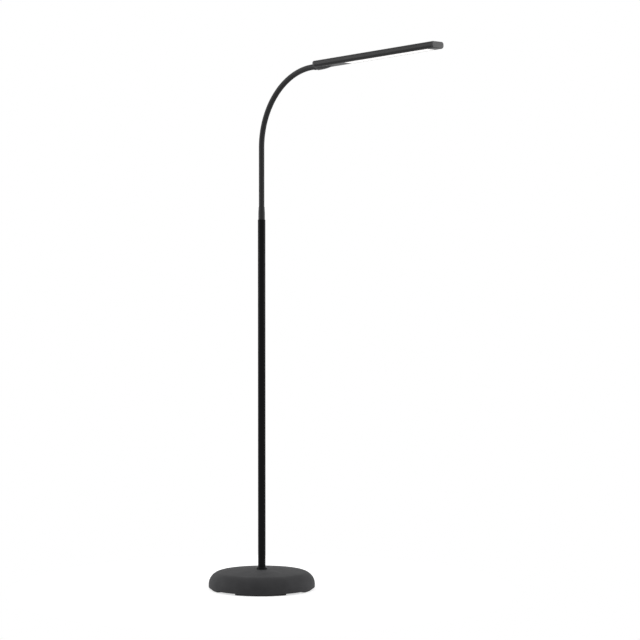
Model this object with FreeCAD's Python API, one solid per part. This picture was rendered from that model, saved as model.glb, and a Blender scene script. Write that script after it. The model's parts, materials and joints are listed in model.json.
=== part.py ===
# Gooseneck reading floor lamp: a round weighted base, a pole in two lengths, a flexible neck
# and a flat bar-shaped head that lights downwards through a strip along its underside.
# All sizes are in millimetres. The origin is the centre of the base on the floor, +Z points
# up and +X points from the pole towards the head.

import FreeCAD
import Part
import math
import os

Vector = FreeCAD.Vector

# Base
BASE_DIAMETER = 252.0
BASE_HEIGHT = 47.0
WIDEST_LEVEL = 12.0
SHOULDER_RADIUS = 30.0
SEAT_RADIUS = 17.0
COVER_WALL = 1.5
RIM_ROUND = 3.0
LIP_WIDTH = 2.5
PLATE_THICKNESS = 1.5
WEIGHT_INSET = 28.0
WEIGHT_THICKNESS = 12.5
WEIGHT_CHAMFER = 1.5
BOSS_RADIUS = 24.0
BOSS_CHAMFER = 1.0
BASE_SCREW_COUNT = 4
BASE_SCREW_INSET = 17.0
BASE_SCREW_SHANK = 2.0
BASE_SCREW_HEAD = 3.8
BASE_SCREW_HEAD_HEIGHT = 1.8
BASE_SCREW_DEPTH = 10.0

# Foot pads
PAD_HEIGHT = 4.0
PAD_INSET = 7.0
PAD_WIDTH = 14.0
PAD_ARC = 62.0
PAD_COUNT = 4
PAD_CORNER = 5.0

# Pole
POLE_DIAMETER = 18.0
POLE_WALL = 1.0
POLE_TOP = 874.0
POLE_SEAM = 459.0
COLLAR_WIDTH = 3.5
COLLAR_HEIGHT = 6.0
COLLAR_ROUND = 2.2

# Hollow threaded rod and the inserts that hold the pole and the neck
ROD_RADIUS = 5.0
ROD_BORE = 3.0
FOOT_INSERT = 25.0
FOOT_STUD = 20.0
SEAM_INSERT = 25.0
SEAM_STUD = 19.0
TOP_INSERT = 25.0
TOP_STUD = 18.0
NUT_HEIGHT = 6.0
NUT_ACROSS_FLATS = 17.0
WASHER_THICKNESS = 1.5
WASHER_RADIUS = 11.0
ROD_BELOW_NUT = 1.5
RECESS_MARGIN = 7.0
RECESS_DEPTH = 18.5

# Cord bush in the back of the base, and the terminal block behind it
BUSH_BORE_RADIUS = 3.1
BUSH_NECK_RADIUS = 4.9
BUSH_FLANGE_RADIUS = 6.5
BUSH_FLANGE = 1.6
BUSH_GRIP = 3.6
BUSH_INNER_FLANGE = 1.8
BUSH_INNER_FLANGE_RADIUS = 6.0
BUSH_LEVEL = 14.0
TERMINAL_SIZE = (22.0, 16.0, 9.0)
TERMINAL_BACK = 60.0
TERMINAL_ROOM = 1.0
TERMINAL_WELL = 2.0

# Two-core lead inside the lamp
LEAD_RADIUS = 2.0
LEAD_BEND = 9.0
LEAD_LEVEL = 8.0
LEAD_ROOM = 1.5

# Neck
FERRULE_WALL = 1.25
FERRULE_LIP = 0.3
FERRULE_HEIGHT = 30.0
FERRULE_TAPER = 15.0
SLEEVE_RADIUS = 6.5
SLEEVE_WALL = 1.0
SLEEVE_TUCK = 12.0
CORE_BORE = 3.0
CORE_TUCK = 26.0
CORE_GAP = 2.4
NECK_STRAIGHT = 139.6
NECK_BEND_RADIUS = 178.0
NECK_BEND_ANGLE = 87.4
FIRST_BEND = 20.0
LAST_BEND_MARGIN = 10.5
BEND_COUNT = 12

# Head, in its own frame: u runs along it from the end of the neck's arc, v across, w up
HEAD_START = 18.5
HEAD_END = 387.7
HEAD_WIDTH = 38.8
HEAD_TOP = 11.3
HEAD_BOTTOM = -4.0
HEAD_TOP_ROUND = 5.5
HEAD_BOTTOM_ROUND = 7.0
HEAD_WALL = 1.6
LIP_THICKNESS = 2.6
LIP_SPAN = 6.5
LEDGE = 2.0
REAR_CAP_LENGTH = 6.0
REAR_CAP_ROUND = 2.5
FRONT_CAP_FLANGE = 3.0
FRONT_CAP_ROUND = 2.0
FRONT_CAP_SPIGOT = 6.0
COVER_LENGTH = 95.5
LIGHT_MARGIN = 19.7
PLATE_IN_SLOT = 1.3
MOULDED_WALL = 1.5
DIFFUSER_THICKNESS = 1.5
DIFFUSER_RECESS = 0.2
DIFFUSER_ROUND = 0.6
HUMP_WALL = 1.3
HUMP_STRAIGHT = 9.5
HUMP_LENGTH = 53.5
HUMP_END_RADIUS = 3.0
HUMP_EDGE = 0.8
UPPER_FERRULE_START = 8.0
UPPER_FERRULE_WALL = 1.2
UPPER_FERRULE_LENGTH = 28.0
UPPER_FERRULE_EDGE = 0.6
SADDLE_LENGTH = 37.5
COVER_SCREW_PLACES = (42.0, 57.0)
COVER_SCREW_OFFSET = 10.1
COVER_SCREW_HEAD = 2.2
COVER_SCREW_HEAD_HEIGHT = 1.1
COVER_SCREW_SHANK = 1.25
COVER_SCREW_GRIP = 2.0
LED_ROWS = 2
LEDS_PER_ROW = 16
LED_SIZE = (3.5, 2.8, 0.8)
LED_ROW_SPACING = 11.0
LED_BOARD_WIDTH = 25.0
LED_BOARD_THICKNESS = 1.5
LED_MARGIN = 10.0
REFLECTOR_WALL = 0.7
REFLECTOR_SLANT = 3.0
TOUCH_KEY_RADIUS = 7.0
TOUCH_KEY_PLACE = 82.0
TOUCH_KEY_DISH = 60.0
TOUCH_KEY_DEPTH = 0.4
DIMMER_START = 66.0
DIMMER_END = 98.0
DIMMER_LEVEL = 4.0
DIMMER_WIDTH = 26.0
DIMMER_RAIL_OFFSET = 10.0
BOARD_THICKNESS = 1.6
LINK_THICKNESS = 0.8
LINK_WIDTH = 8.0

# Clearances
THREAD_CLEARANCE = 0.1
SLIP = 0.1
LOOSE = 0.3
PLATE_GAP = 0.05

# Sizes that follow from the ones above
BASE_RADIUS = BASE_DIAMETER / 2
POLE_RADIUS = POLE_DIAMETER / 2
POLE_BORE = POLE_RADIUS - POLE_WALL
COLLAR_RADIUS = POLE_RADIUS + COLLAR_WIDTH
PAD_OUTER_RADIUS = BASE_RADIUS - PAD_INSET
WEIGHT_RADIUS = BASE_RADIUS - WEIGHT_INSET
BASE_SCREW_CIRCLE = WEIGHT_RADIUS - BASE_SCREW_INSET
RECESS_RADIUS = WASHER_RADIUS + RECESS_MARGIN
COVER_UNDERSIDE = BASE_HEIGHT - COVER_WALL
LIP_INNER_RADIUS = BASE_RADIUS - RIM_ROUND - LIP_WIDTH
PLATE_TOP = PAD_HEIGHT + PLATE_THICKNESS
RECESS_TOP = PLATE_TOP + RECESS_DEPTH
ROD_BOTTOM = RECESS_TOP - WASHER_THICKNESS - NUT_HEIGHT - ROD_BELOW_NUT
SLEEVE_BORE = SLEEVE_RADIUS - SLEEVE_WALL
CORE_RADIUS = SLEEVE_BORE - LOOSE
FERRULE_RADIUS = SLEEVE_RADIUS + FERRULE_WALL
FERRULE_TIP_RADIUS = SLEEVE_RADIUS + LOOSE + FERRULE_LIP
UPPER_FERRULE_RADIUS = SLEEVE_RADIUS + UPPER_FERRULE_WALL
NECK_ROOT = POLE_TOP + FERRULE_HEIGHT
NECK_BEND_START = NECK_ROOT + NECK_STRAIGHT
NECK_ARC = math.radians(NECK_BEND_ANGLE) * NECK_BEND_RADIUS
NECK_TO_HEAD = NECK_STRAIGHT + NECK_ARC
BEND_SPACING = (NECK_TO_HEAD - FIRST_BEND - LAST_BEND_MARGIN) / (BEND_COUNT - 1)
HEAD_HALF = HEAD_WIDTH / 2
HEAD_INNER_TOP = HEAD_TOP - HEAD_WALL
LIP_TOP = HEAD_BOTTOM + LIP_THICKNESS
SLOT_HALF = HEAD_HALF - LIP_SPAN
PLATE_HALF = SLOT_HALF + LEDGE
LEDGE_CORNER = HEAD_HALF - HEAD_WALL - PLATE_HALF
PLATE_LOW = LIP_TOP + PLATE_GAP
PLATE_HIGH = PLATE_LOW + PLATE_IN_SLOT
HOUSING_START = HEAD_START + REAR_CAP_LENGTH
HOUSING_END = HEAD_END - FRONT_CAP_FLANGE
COVER_END = HEAD_START + COVER_LENGTH
LIGHT_END = HEAD_END - LIGHT_MARGIN
HUMP_RADIUS = UPPER_FERRULE_RADIUS + SLIP + HUMP_WALL
HUMP_SHOULDER = HEAD_START + HUMP_STRAIGHT
HUMP_END = HEAD_START + HUMP_LENGTH
UPPER_FERRULE_END = UPPER_FERRULE_START + UPPER_FERRULE_LENGTH
SLEEVE_END = NECK_TO_HEAD + UPPER_FERRULE_START + SLEEVE_TUCK
CORE_END = UPPER_FERRULE_END - SLEEVE_TUCK / 3
SADDLE_END = HOUSING_START + SADDLE_LENGTH
COVER_SCREW_FACE = HEAD_BOTTOM + SLIP + COVER_SCREW_HEAD_HEIGHT
LED_BOARD_TOP = HEAD_INNER_TOP - PLATE_GAP
LED_BOARD_UNDERSIDE = LED_BOARD_TOP - LED_BOARD_THICKNESS
LED_BOARD_START = COVER_END + 1.0
LED_BOARD_END = LIGHT_END - 2.0


def save(name, solids):
    """Write one sub-part, made of one or more separate solids, to its own file."""
    shape = solids[0] if len(solids) == 1 else Part.makeCompound(solids)
    if not shape.isValid():
        raise ValueError(name + " isn't a valid shape")
    shape.exportStep("parts/" + name + ".step")
    print(name, "solids", len(shape.Solids), "volume", round(sum(s.Volume for s in shape.Solids), 1))


def joined(first, *others):
    """One solid from shapes that touch or overlap, without the seams between them."""
    return first.fuse(list(others)).removeSplitter().Solids[0]


def place(radius, height):
    """A point of a turned outline."""
    return Vector(radius, 0, height)


def line(start, end):
    return Part.LineSegment(start, end).toShape()


def arc(centre, radius, start_angle, end_angle):
    """An arc of a turned outline. Angles are in degrees from the outward direction, upwards."""
    points = []
    for angle in (start_angle, (start_angle + end_angle) / 2, end_angle):
        turn = math.radians(angle)
        points.append(centre + Vector(radius * math.cos(turn), 0, radius * math.sin(turn)))
    return Part.Arc(*points).toShape()


def outline(*points):
    """A closed face with straight sides."""
    return Part.Face(Part.makePolygon(list(points) + [points[0]]))


def turned(face):
    """A solid turned about the pole's axis."""
    return face.revolve(Vector(0, 0, 0), Vector(0, 0, 1), 360)


def disc(radius, bottom, top):
    return Part.makeCylinder(radius, top - bottom, Vector(0, 0, bottom))


def tube(outer, inner, bottom, top):
    return disc(outer, bottom, top).cut(disc(inner, bottom, top))


def block(start, end):
    """A box between two corners."""
    size = end - start
    return Part.makeBox(size.x, size.y, size.z, start)


def around_pole(shape, count, first_angle):
    """Copies of a shape at equal angles about the pole's axis."""
    copies = []
    for number in range(count):
        copy = shape.copy()
        copy.rotate(Vector(0, 0, 0), Vector(0, 0, 1), first_angle + 360 * number / count)
        copies.append(copy)
    return copies


# Base


def cover_outline(inset):
    """The base cover's outline from the seat to the widest level, moved inwards by inset."""
    shoulder = place(BASE_RADIUS - SHOULDER_RADIUS, WIDEST_LEVEL)
    reach = shoulder.x - SEAT_RADIUS
    rise = BASE_HEIGHT - WIDEST_LEVEL
    crown_radius = (reach**2 + rise**2 - SHOULDER_RADIUS**2) / (2 * (rise - SHOULDER_RADIUS))
    crown = place(SEAT_RADIUS, BASE_HEIGHT - crown_radius)
    meeting = math.degrees(math.atan2(shoulder.z - crown.z, shoulder.x - crown.x))
    return [
        arc(crown, crown_radius - inset, 90, meeting),
        arc(shoulder, SHOULDER_RADIUS - inset, meeting, 0),
    ]


def make_base_cover():
    """A pressed steel shell: flat seat, gentle crown, round shoulder and a rolled-in lip."""
    hole = ROD_RADIUS + LOOSE
    hole_length = 20.0
    rim = place(BASE_RADIUS - RIM_ROUND, PAD_HEIGHT + RIM_ROUND)
    outer = cover_outline(0)
    inner = cover_outline(COVER_WALL)
    seat_edge = place(SEAT_RADIUS, BASE_HEIGHT)
    inner_edge = place(SEAT_RADIUS, COVER_UNDERSIDE)
    lip_low = place(LIP_INNER_RADIUS, PAD_HEIGHT)
    lip_high = place(LIP_INNER_RADIUS, PAD_HEIGHT + COVER_WALL)
    edges = [line(place(hole, BASE_HEIGHT), seat_edge)]
    edges += outer
    edges.append(line(place(BASE_RADIUS, WIDEST_LEVEL), place(BASE_RADIUS, rim.z)))
    edges.append(arc(rim, RIM_ROUND, 0, -90))
    edges.append(line(place(rim.x, PAD_HEIGHT), lip_low))
    edges.append(line(lip_low, lip_high))
    edges.append(line(lip_high, place(rim.x, lip_high.z)))
    edges.append(arc(rim, RIM_ROUND - COVER_WALL, -90, 0))
    inner_radius = BASE_RADIUS - COVER_WALL
    edges.append(line(place(inner_radius, rim.z), place(inner_radius, WIDEST_LEVEL)))
    edges += list(reversed(inner))
    edges.append(line(inner_edge, place(hole, COVER_UNDERSIDE)))
    edges.append(line(place(hole, COVER_UNDERSIDE), place(hole, BASE_HEIGHT)))
    shell = turned(Part.Face(Part.Wire(Part.__sortEdges__(edges))))
    corner = Vector(-BASE_RADIUS - hole_length / 2, 0, BUSH_LEVEL)
    bush_hole = Part.makeCylinder(BUSH_NECK_RADIUS + SLIP, hole_length, corner, Vector(1, 0, 0))
    return shell.cut(bush_hole)


def base_screw_holes(radius, bottom, top):
    """Holes or shanks on the circle of screws that holds the plate to the weight."""
    shank = Part.makeCylinder(radius, top - bottom, Vector(BASE_SCREW_CIRCLE, 0, bottom))
    return around_pole(shank, BASE_SCREW_COUNT, 180 / BASE_SCREW_COUNT)


def make_base_plate():
    plate = disc(LIP_INNER_RADIUS - LOOSE, PAD_HEIGHT, PLATE_TOP)
    return plate.cut(base_screw_holes(BASE_SCREW_SHANK + SLIP, PAD_HEIGHT, PLATE_TOP))


def make_base_screws():
    heads = base_screw_holes(BASE_SCREW_HEAD, PAD_HEIGHT - BASE_SCREW_HEAD_HEIGHT, PAD_HEIGHT)
    shanks = base_screw_holes(BASE_SCREW_SHANK, PAD_HEIGHT, PLATE_TOP + BASE_SCREW_DEPTH)
    return [joined(head, shank) for head, shank in zip(heads, shanks)]


def make_base_weight():
    """A cast disc with a boss that carries the cover's seat, and room for nut, block and lead."""
    top = PLATE_TOP + WEIGHT_THICKNESS
    face = outline(
        place(0, PLATE_TOP),
        place(WEIGHT_RADIUS, PLATE_TOP),
        place(WEIGHT_RADIUS, top - WEIGHT_CHAMFER),
        place(WEIGHT_RADIUS - WEIGHT_CHAMFER, top),
        place(BOSS_RADIUS, top),
        place(BOSS_RADIUS, COVER_UNDERSIDE - BOSS_CHAMFER),
        place(SEAT_RADIUS, COVER_UNDERSIDE),
        place(0, COVER_UNDERSIDE),
    )
    length, width, height = TERMINAL_SIZE
    half = width / 2 + TERMINAL_ROOM
    pocket = block(
        Vector(-TERMINAL_BACK - TERMINAL_ROOM, -half, PLATE_TOP),
        Vector(length - TERMINAL_BACK + TERMINAL_ROOM, half, PLATE_TOP + height + TERMINAL_ROOM),
    )
    channel_half = LEAD_RADIUS + LEAD_ROOM
    channel = block(
        Vector(-WEIGHT_RADIUS - 1, -channel_half, PLATE_TOP),
        Vector(0, channel_half, LEAD_LEVEL + channel_half + 1),
    )
    recess = disc(RECESS_RADIUS, PLATE_TOP, RECESS_TOP)
    bore = disc(ROD_RADIUS + LOOSE, PLATE_TOP, COVER_UNDERSIDE)
    screw_depth = PLATE_TOP + BASE_SCREW_DEPTH + 1
    holes = base_screw_holes(BASE_SCREW_SHANK + SLIP, PLATE_TOP, screw_depth)
    return turned(face).cut([pocket, channel, recess, bore] + holes)


def make_foot_pads():
    """Arc-shaped rubber pads with rounded ends, bonded under the plate."""
    inner = PAD_OUTER_RADIUS - PAD_WIDTH
    section = outline(
        place(inner, 0),
        place(PAD_OUTER_RADIUS, 0),
        place(PAD_OUTER_RADIUS, PAD_HEIGHT),
        place(inner, PAD_HEIGHT),
    )
    pad = section.revolve(Vector(0, 0, 0), Vector(0, 0, 1), PAD_ARC)
    upright = [edge for edge in pad.Edges if abs(edge.BoundBox.ZLength - PAD_HEIGHT) < 0.01]
    pad = pad.makeFillet(PAD_CORNER, upright)
    return around_pole(pad, PAD_COUNT, (360 / PAD_COUNT - PAD_ARC) / 2)


def make_cord_bush():
    """A flanged bush through the back of the cover, turned about its own bore."""
    outside = BASE_RADIUS + BUSH_FLANGE + PLATE_GAP
    flange_back = BASE_RADIUS + PLATE_GAP
    inner_flange = flange_back - BUSH_GRIP
    inside = inner_flange - BUSH_INNER_FLANGE
    rings = []
    for start, end, radius in (
        (outside, flange_back, BUSH_FLANGE_RADIUS),
        (flange_back, inner_flange, BUSH_NECK_RADIUS),
        (inner_flange, inside, BUSH_INNER_FLANGE_RADIUS),
    ):
        corner = Vector(-start, 0, BUSH_LEVEL)
        rings.append(Part.makeCylinder(radius, start - end, corner, Vector(1, 0, 0)))
    bush = joined(*rings)
    rim = [edge for edge in bush.Edges if edge.BoundBox.XMax < 0.01 - outside]
    bush = bush.makeChamfer(BUSH_FLANGE / 2, rim)
    bore = Part.makeCylinder(
        BUSH_BORE_RADIUS, outside - inside, Vector(-outside, 0, BUSH_LEVEL), Vector(1, 0, 0)
    )
    return bush.cut(bore)


def make_terminal_block():
    """A two-pole block with its screw wells, in the weight's pocket."""
    length, width, height = TERMINAL_SIZE
    body = block(
        Vector(-TERMINAL_BACK, -width / 2, PLATE_TOP),
        Vector(length - TERMINAL_BACK, width / 2, PLATE_TOP + height),
    )
    wells = []
    for along in (length / 4, length * 3 / 4):
        for side in (-width / 4, width / 4):
            foot = Vector(along - TERMINAL_BACK, side, PLATE_TOP + height / 2)
            wells.append(Part.makeCylinder(TERMINAL_WELL, height, foot))
    return body.cut(wells)


# Pole


def make_collar():
    """The ring that covers the joint between pole and base."""
    inner = POLE_RADIUS + SLIP
    top = BASE_HEIGHT + COLLAR_HEIGHT
    corner = place(COLLAR_RADIUS - COLLAR_ROUND, top - COLLAR_ROUND)
    edges = [
        line(place(inner, BASE_HEIGHT), place(COLLAR_RADIUS, BASE_HEIGHT)),
        line(place(COLLAR_RADIUS, BASE_HEIGHT), place(COLLAR_RADIUS, corner.z)),
        arc(corner, COLLAR_ROUND, 0, 90),
        line(place(corner.x, top), place(inner, top)),
        line(place(inner, top), place(inner, BASE_HEIGHT)),
    ]
    return turned(Part.Face(Part.Wire(edges)))


def make_nut():
    """A hexagon nut under the weight, on the hollow rod."""
    bottom = RECESS_TOP - WASHER_THICKNESS - NUT_HEIGHT
    corner = NUT_ACROSS_FLATS / 2 / math.cos(math.radians(30))
    corners = []
    for number in range(6):
        turn = math.radians(60 * number)
        corners.append(Vector(corner * math.cos(turn), corner * math.sin(turn), bottom))
    hexagon = outline(*corners).extrude(Vector(0, 0, NUT_HEIGHT))
    return hexagon.cut(disc(ROD_RADIUS + THREAD_CLEARANCE, bottom, bottom + NUT_HEIGHT))


def make_seam_stud():
    """The insert in the upper pole with the hollow stud that screws into the lower pole."""
    insert = disc(POLE_BORE - SLIP, POLE_SEAM, POLE_SEAM + SEAM_INSERT)
    stud = disc(ROD_RADIUS, POLE_SEAM - SEAM_STUD, POLE_SEAM)
    bore = disc(ROD_BORE, POLE_SEAM - SEAM_STUD, POLE_SEAM + SEAM_INSERT)
    return joined(insert, stud).cut(bore)


def make_pole_lead():
    """The lead from the terminal block along the weight's channel and up inside the pole."""
    start = TERMINAL_SIZE[0] - TERMINAL_BACK
    run = Part.makeCylinder(
        LEAD_RADIUS, -LEAD_BEND - start, Vector(start, 0, LEAD_LEVEL), Vector(1, 0, 0)
    )
    ring = Part.makeCircle(LEAD_RADIUS, Vector(-LEAD_BEND, 0, LEAD_LEVEL), Vector(1, 0, 0))
    centre = Vector(-LEAD_BEND, 0, LEAD_LEVEL + LEAD_BEND)
    bend = Part.Face(Part.Wire(ring)).revolve(centre, Vector(0, -1, 0), 90)
    rise = disc(LEAD_RADIUS, centre.z, NECK_ROOT - CORE_TUCK)
    return joined(run, bend, rise)


# Neck


def neck_frame(distance):
    """The placement that carries +Z along the neck's centre line at a distance from its root."""
    if distance <= NECK_STRAIGHT:
        return FreeCAD.Placement(Vector(0, 0, NECK_ROOT + distance), FreeCAD.Rotation())
    turn = min((distance - NECK_STRAIGHT) / NECK_BEND_RADIUS, math.radians(NECK_BEND_ANGLE))
    reach = NECK_BEND_RADIUS * (1 - math.cos(turn))
    point = Vector(reach, 0, NECK_BEND_START + NECK_BEND_RADIUS * math.sin(turn))
    past = max(distance - NECK_TO_HEAD, 0)
    point += Vector(math.sin(turn), 0, math.cos(turn)) * past
    return FreeCAD.Placement(point, FreeCAD.Rotation(Vector(0, 1, 0), math.degrees(turn)))


def neck_span(start, end, outer, inner):
    """A round tube, or a rod where inner is 0, along the neck's centre line."""

    def section(distance):
        face = Part.Face(Part.Wire(Part.makeCircle(outer)))
        if inner:
            face = face.cut(Part.Face(Part.Wire(Part.makeCircle(inner)))).Faces[0]
        face.Placement = neck_frame(distance)
        return face

    marks = [start]
    marks += [mark for mark in (NECK_STRAIGHT, NECK_TO_HEAD) if start < mark < end]
    marks.append(end)
    pieces = []
    for low, high in zip(marks, marks[1:]):
        if NECK_STRAIGHT <= low and high <= NECK_TO_HEAD:
            centre = Vector(NECK_BEND_RADIUS, 0, NECK_BEND_START)
            turn = math.degrees((high - low) / NECK_BEND_RADIUS)
            pieces.append(section(low).revolve(centre, Vector(0, 1, 0), turn))
        else:
            direction = neck_frame(low).Rotation.multVec(Vector(0, 0, high - low))
            pieces.append(section(low).extrude(direction))
    return joined(*pieces) if len(pieces) > 1 else pieces[0]


def make_lower_ferrule():
    """The tapered metal end that holds the neck and screws into the top of the pole."""
    sleeve_floor = NECK_ROOT - SLEEVE_TUCK
    core_floor = NECK_ROOT - CORE_TUCK
    face = outline(
        place(0, POLE_TOP - TOP_STUD),
        place(ROD_RADIUS, POLE_TOP - TOP_STUD),
        place(ROD_RADIUS, POLE_TOP),
        place(FERRULE_RADIUS, POLE_TOP),
        place(FERRULE_RADIUS, NECK_ROOT - FERRULE_TAPER),
        place(FERRULE_TIP_RADIUS, NECK_ROOT),
        place(0, NECK_ROOT),
    )
    bores = [
        disc(SLEEVE_RADIUS + LOOSE, sleeve_floor, NECK_ROOT),
        disc(CORE_RADIUS + SLIP, core_floor, sleeve_floor),
        disc(ROD_BORE, POLE_TOP - TOP_STUD, core_floor),
    ]
    return turned(face).cut(bores)


def make_upper_ferrule():
    """The metal end that the head's saddle and cover clamp."""
    start = UPPER_FERRULE_START
    sleeve_end = start + SLEEVE_TUCK
    body = along_head(UPPER_FERRULE_RADIUS, start, UPPER_FERRULE_END)
    mouth = [edge for edge in body.Edges if edge.BoundBox.XMax < start + 0.01]
    body = body.makeChamfer(UPPER_FERRULE_EDGE, mouth)
    return body.cut(
        [
            along_head(SLEEVE_RADIUS + LOOSE, start, sleeve_end),
            along_head(CORE_RADIUS + SLIP, sleeve_end, CORE_END),
            along_head(ROD_BORE, start, UPPER_FERRULE_END),
        ]
    )


def bend_places():
    """Distances from the neck's root at which its core can bend."""
    return [FIRST_BEND + BEND_SPACING * number for number in range(BEND_COUNT)]


def make_neck_core():
    """The wound steel core as stiff spans, with a gap at each place where it bends."""
    starts = [-CORE_TUCK] + [bend + CORE_GAP / 2 for bend in bend_places()]
    ends = [bend - CORE_GAP / 2 for bend in bend_places()] + [NECK_TO_HEAD + CORE_END]
    return [neck_span(low, high, CORE_RADIUS, CORE_BORE) for low, high in zip(starts, ends)]


# Head


def along_head(radius, start, end):
    """A round bar on the neck's end axis, in the head's frame."""
    return Part.makeCylinder(radius, end - start, Vector(start, 0, 0), Vector(1, 0, 0))


def head_section(start, inset, bottom_inset, top_corner, bottom_corner):
    """The head's cross-section, moved inwards, as a face square to its length."""
    half = HEAD_HALF - inset
    low = HEAD_BOTTOM + bottom_inset
    high = HEAD_TOP - inset

    def corner(v_sign, level, w_sign, radius):
        centre = Vector(start, v_sign * (half - radius), level - w_sign * radius)
        slant = radius * math.sqrt(0.5)
        side = centre + Vector(0, v_sign * radius, 0)
        middle = centre + Vector(0, v_sign * slant, w_sign * slant)
        end = centre + Vector(0, 0, w_sign * radius)
        return side, middle, end

    right_low = corner(1, low, -1, bottom_corner)
    right_high = corner(1, high, 1, top_corner)
    left_high = corner(-1, high, 1, top_corner)
    left_low = corner(-1, low, -1, bottom_corner)
    edges = [
        Part.Arc(right_low[2], right_low[1], right_low[0]).toShape(),
        line(right_low[0], right_high[0]),
        Part.Arc(*right_high).toShape(),
        line(right_high[2], left_high[2]),
        Part.Arc(left_high[2], left_high[1], left_high[0]).toShape(),
        line(left_high[0], left_low[0]),
        Part.Arc(*left_low).toShape(),
        line(left_low[2], right_low[2]),
    ]
    return Part.Face(Part.Wire(edges))


def head_bar(start, end):
    """The head's full outer form between two places along it."""
    face = head_section(start, 0, 0, HEAD_TOP_ROUND, HEAD_BOTTOM_ROUND)
    return face.extrude(Vector(end - start, 0, 0))


def head_hollow(start, end, extra):
    """The room inside the housing, made smaller all round by extra."""
    top_corner = HEAD_TOP_ROUND - HEAD_WALL
    face = head_section(start, HEAD_WALL + extra, LIP_THICKNESS + extra, top_corner, LEDGE_CORNER)
    return face.extrude(Vector(end - start, 0, 0))


def head_block(start, end, half_width, bottom, top):
    return block(Vector(start, -half_width, bottom), Vector(end, half_width, top))


def make_head_housing():
    """An extruded channel: closed top and sides, two lips below that hold cover and diffuser."""
    body = head_bar(HOUSING_START, HOUSING_END)
    slot = head_block(HOUSING_START, HOUSING_END, SLOT_HALF, HEAD_BOTTOM, LIP_TOP)
    key_hole = Part.makeCylinder(
        TOUCH_KEY_RADIUS + SLIP, HEAD_WALL * 2, Vector(TOUCH_KEY_PLACE, 0, HEAD_INNER_TOP - 1)
    )
    return body.cut([head_hollow(HOUSING_START, HOUSING_END, 0), slot, key_hole])


def make_rear_cap():
    """The closed rear end, rounded, with an arch that the neck comes through."""
    cap = head_bar(HEAD_START, HOUSING_START)
    rear = [edge for edge in cap.Edges if edge.BoundBox.XMax < HEAD_START + 0.01]
    cap = cap.makeFillet(REAR_CAP_ROUND, rear)
    arch = UPPER_FERRULE_RADIUS + SLIP
    below = head_block(HEAD_START, HOUSING_START, arch, HEAD_BOTTOM - 1, 0)
    return cap.cut([along_head(arch, HEAD_START, HOUSING_START), below])


def make_front_cap():
    """The free end's cap, with a spigot in the housing and a tongue that closes the slot."""
    flange = head_bar(HOUSING_END, HEAD_END)
    front = [edge for edge in flange.Edges if edge.BoundBox.XMin > HEAD_END - 0.01]
    flange = flange.makeFillet(FRONT_CAP_ROUND, front)
    spigot_start = HOUSING_END - FRONT_CAP_SPIGOT
    spigot = head_hollow(spigot_start, HOUSING_END, SLIP)
    hollow = head_hollow(spigot_start, HOUSING_END, SLIP + HEAD_WALL)
    start = LIGHT_END + LOOSE
    tongue_low = head_block(start, HOUSING_END, SLOT_HALF - SLIP, HEAD_BOTTOM, PLATE_HIGH)
    tongue_high = head_block(start, HOUSING_END, PLATE_HALF, PLATE_LOW, PLATE_HIGH)
    return joined(flange, spigot.cut(hollow), tongue_low, tongue_high)


def make_hump():
    """The fairing under the head's rear end that wraps the neck and runs out into the cover."""
    fall = HUMP_RADIUS - HUMP_END_RADIUS
    run = HUMP_END - HUMP_SHOULDER
    radius = (run**2 + fall**2) / (2 * fall)
    half_turn = math.asin(run / radius) / 2
    sink = radius * (1 - math.cos(half_turn))
    middle = Vector(HUMP_SHOULDER + radius * math.sin(half_turn), 0, HUMP_RADIUS - sink)
    shoulder = Vector(HUMP_SHOULDER, 0, HUMP_RADIUS)
    tip = Vector(HUMP_END, 0, HUMP_END_RADIUS)
    foot = Vector(HEAD_START, 0, 0)
    rear_low = Vector(HEAD_START, 0, HUMP_RADIUS - HUMP_EDGE)
    rear_high = Vector(HEAD_START + HUMP_EDGE, 0, HUMP_RADIUS)
    edges = [
        line(foot, rear_low),
        line(rear_low, rear_high),
        line(rear_high, shoulder),
        Part.Arc(shoulder, middle, tip).toShape(),
        line(tip, Vector(HUMP_END, 0, 0)),
        line(Vector(HUMP_END, 0, 0), foot),
    ]
    spindle = Part.Face(Part.Wire(edges)).revolve(Vector(0, 0, 0), Vector(1, 0, 0), 360)
    low = -HUMP_RADIUS - 1
    start = HOUSING_START + SLIP
    below_cap = head_block(HEAD_START - 1, start, HEAD_HALF, low, HEAD_BOTTOM - PLATE_GAP)
    below_slot = head_block(start, HUMP_END, HEAD_HALF, low, PLATE_LOW)
    return joined(spindle.common(below_cap), spindle.common(below_slot))


def cover_screw_places():
    sides = (-COVER_SCREW_OFFSET, COVER_SCREW_OFFSET)
    return [(along, side) for along in COVER_SCREW_PLACES for side in sides]


def upright_bar(radius, along, side, bottom, top):
    """A round bar square to the head's underside."""
    return Part.makeCylinder(radius, top - bottom, Vector(along, side, bottom))


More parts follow.
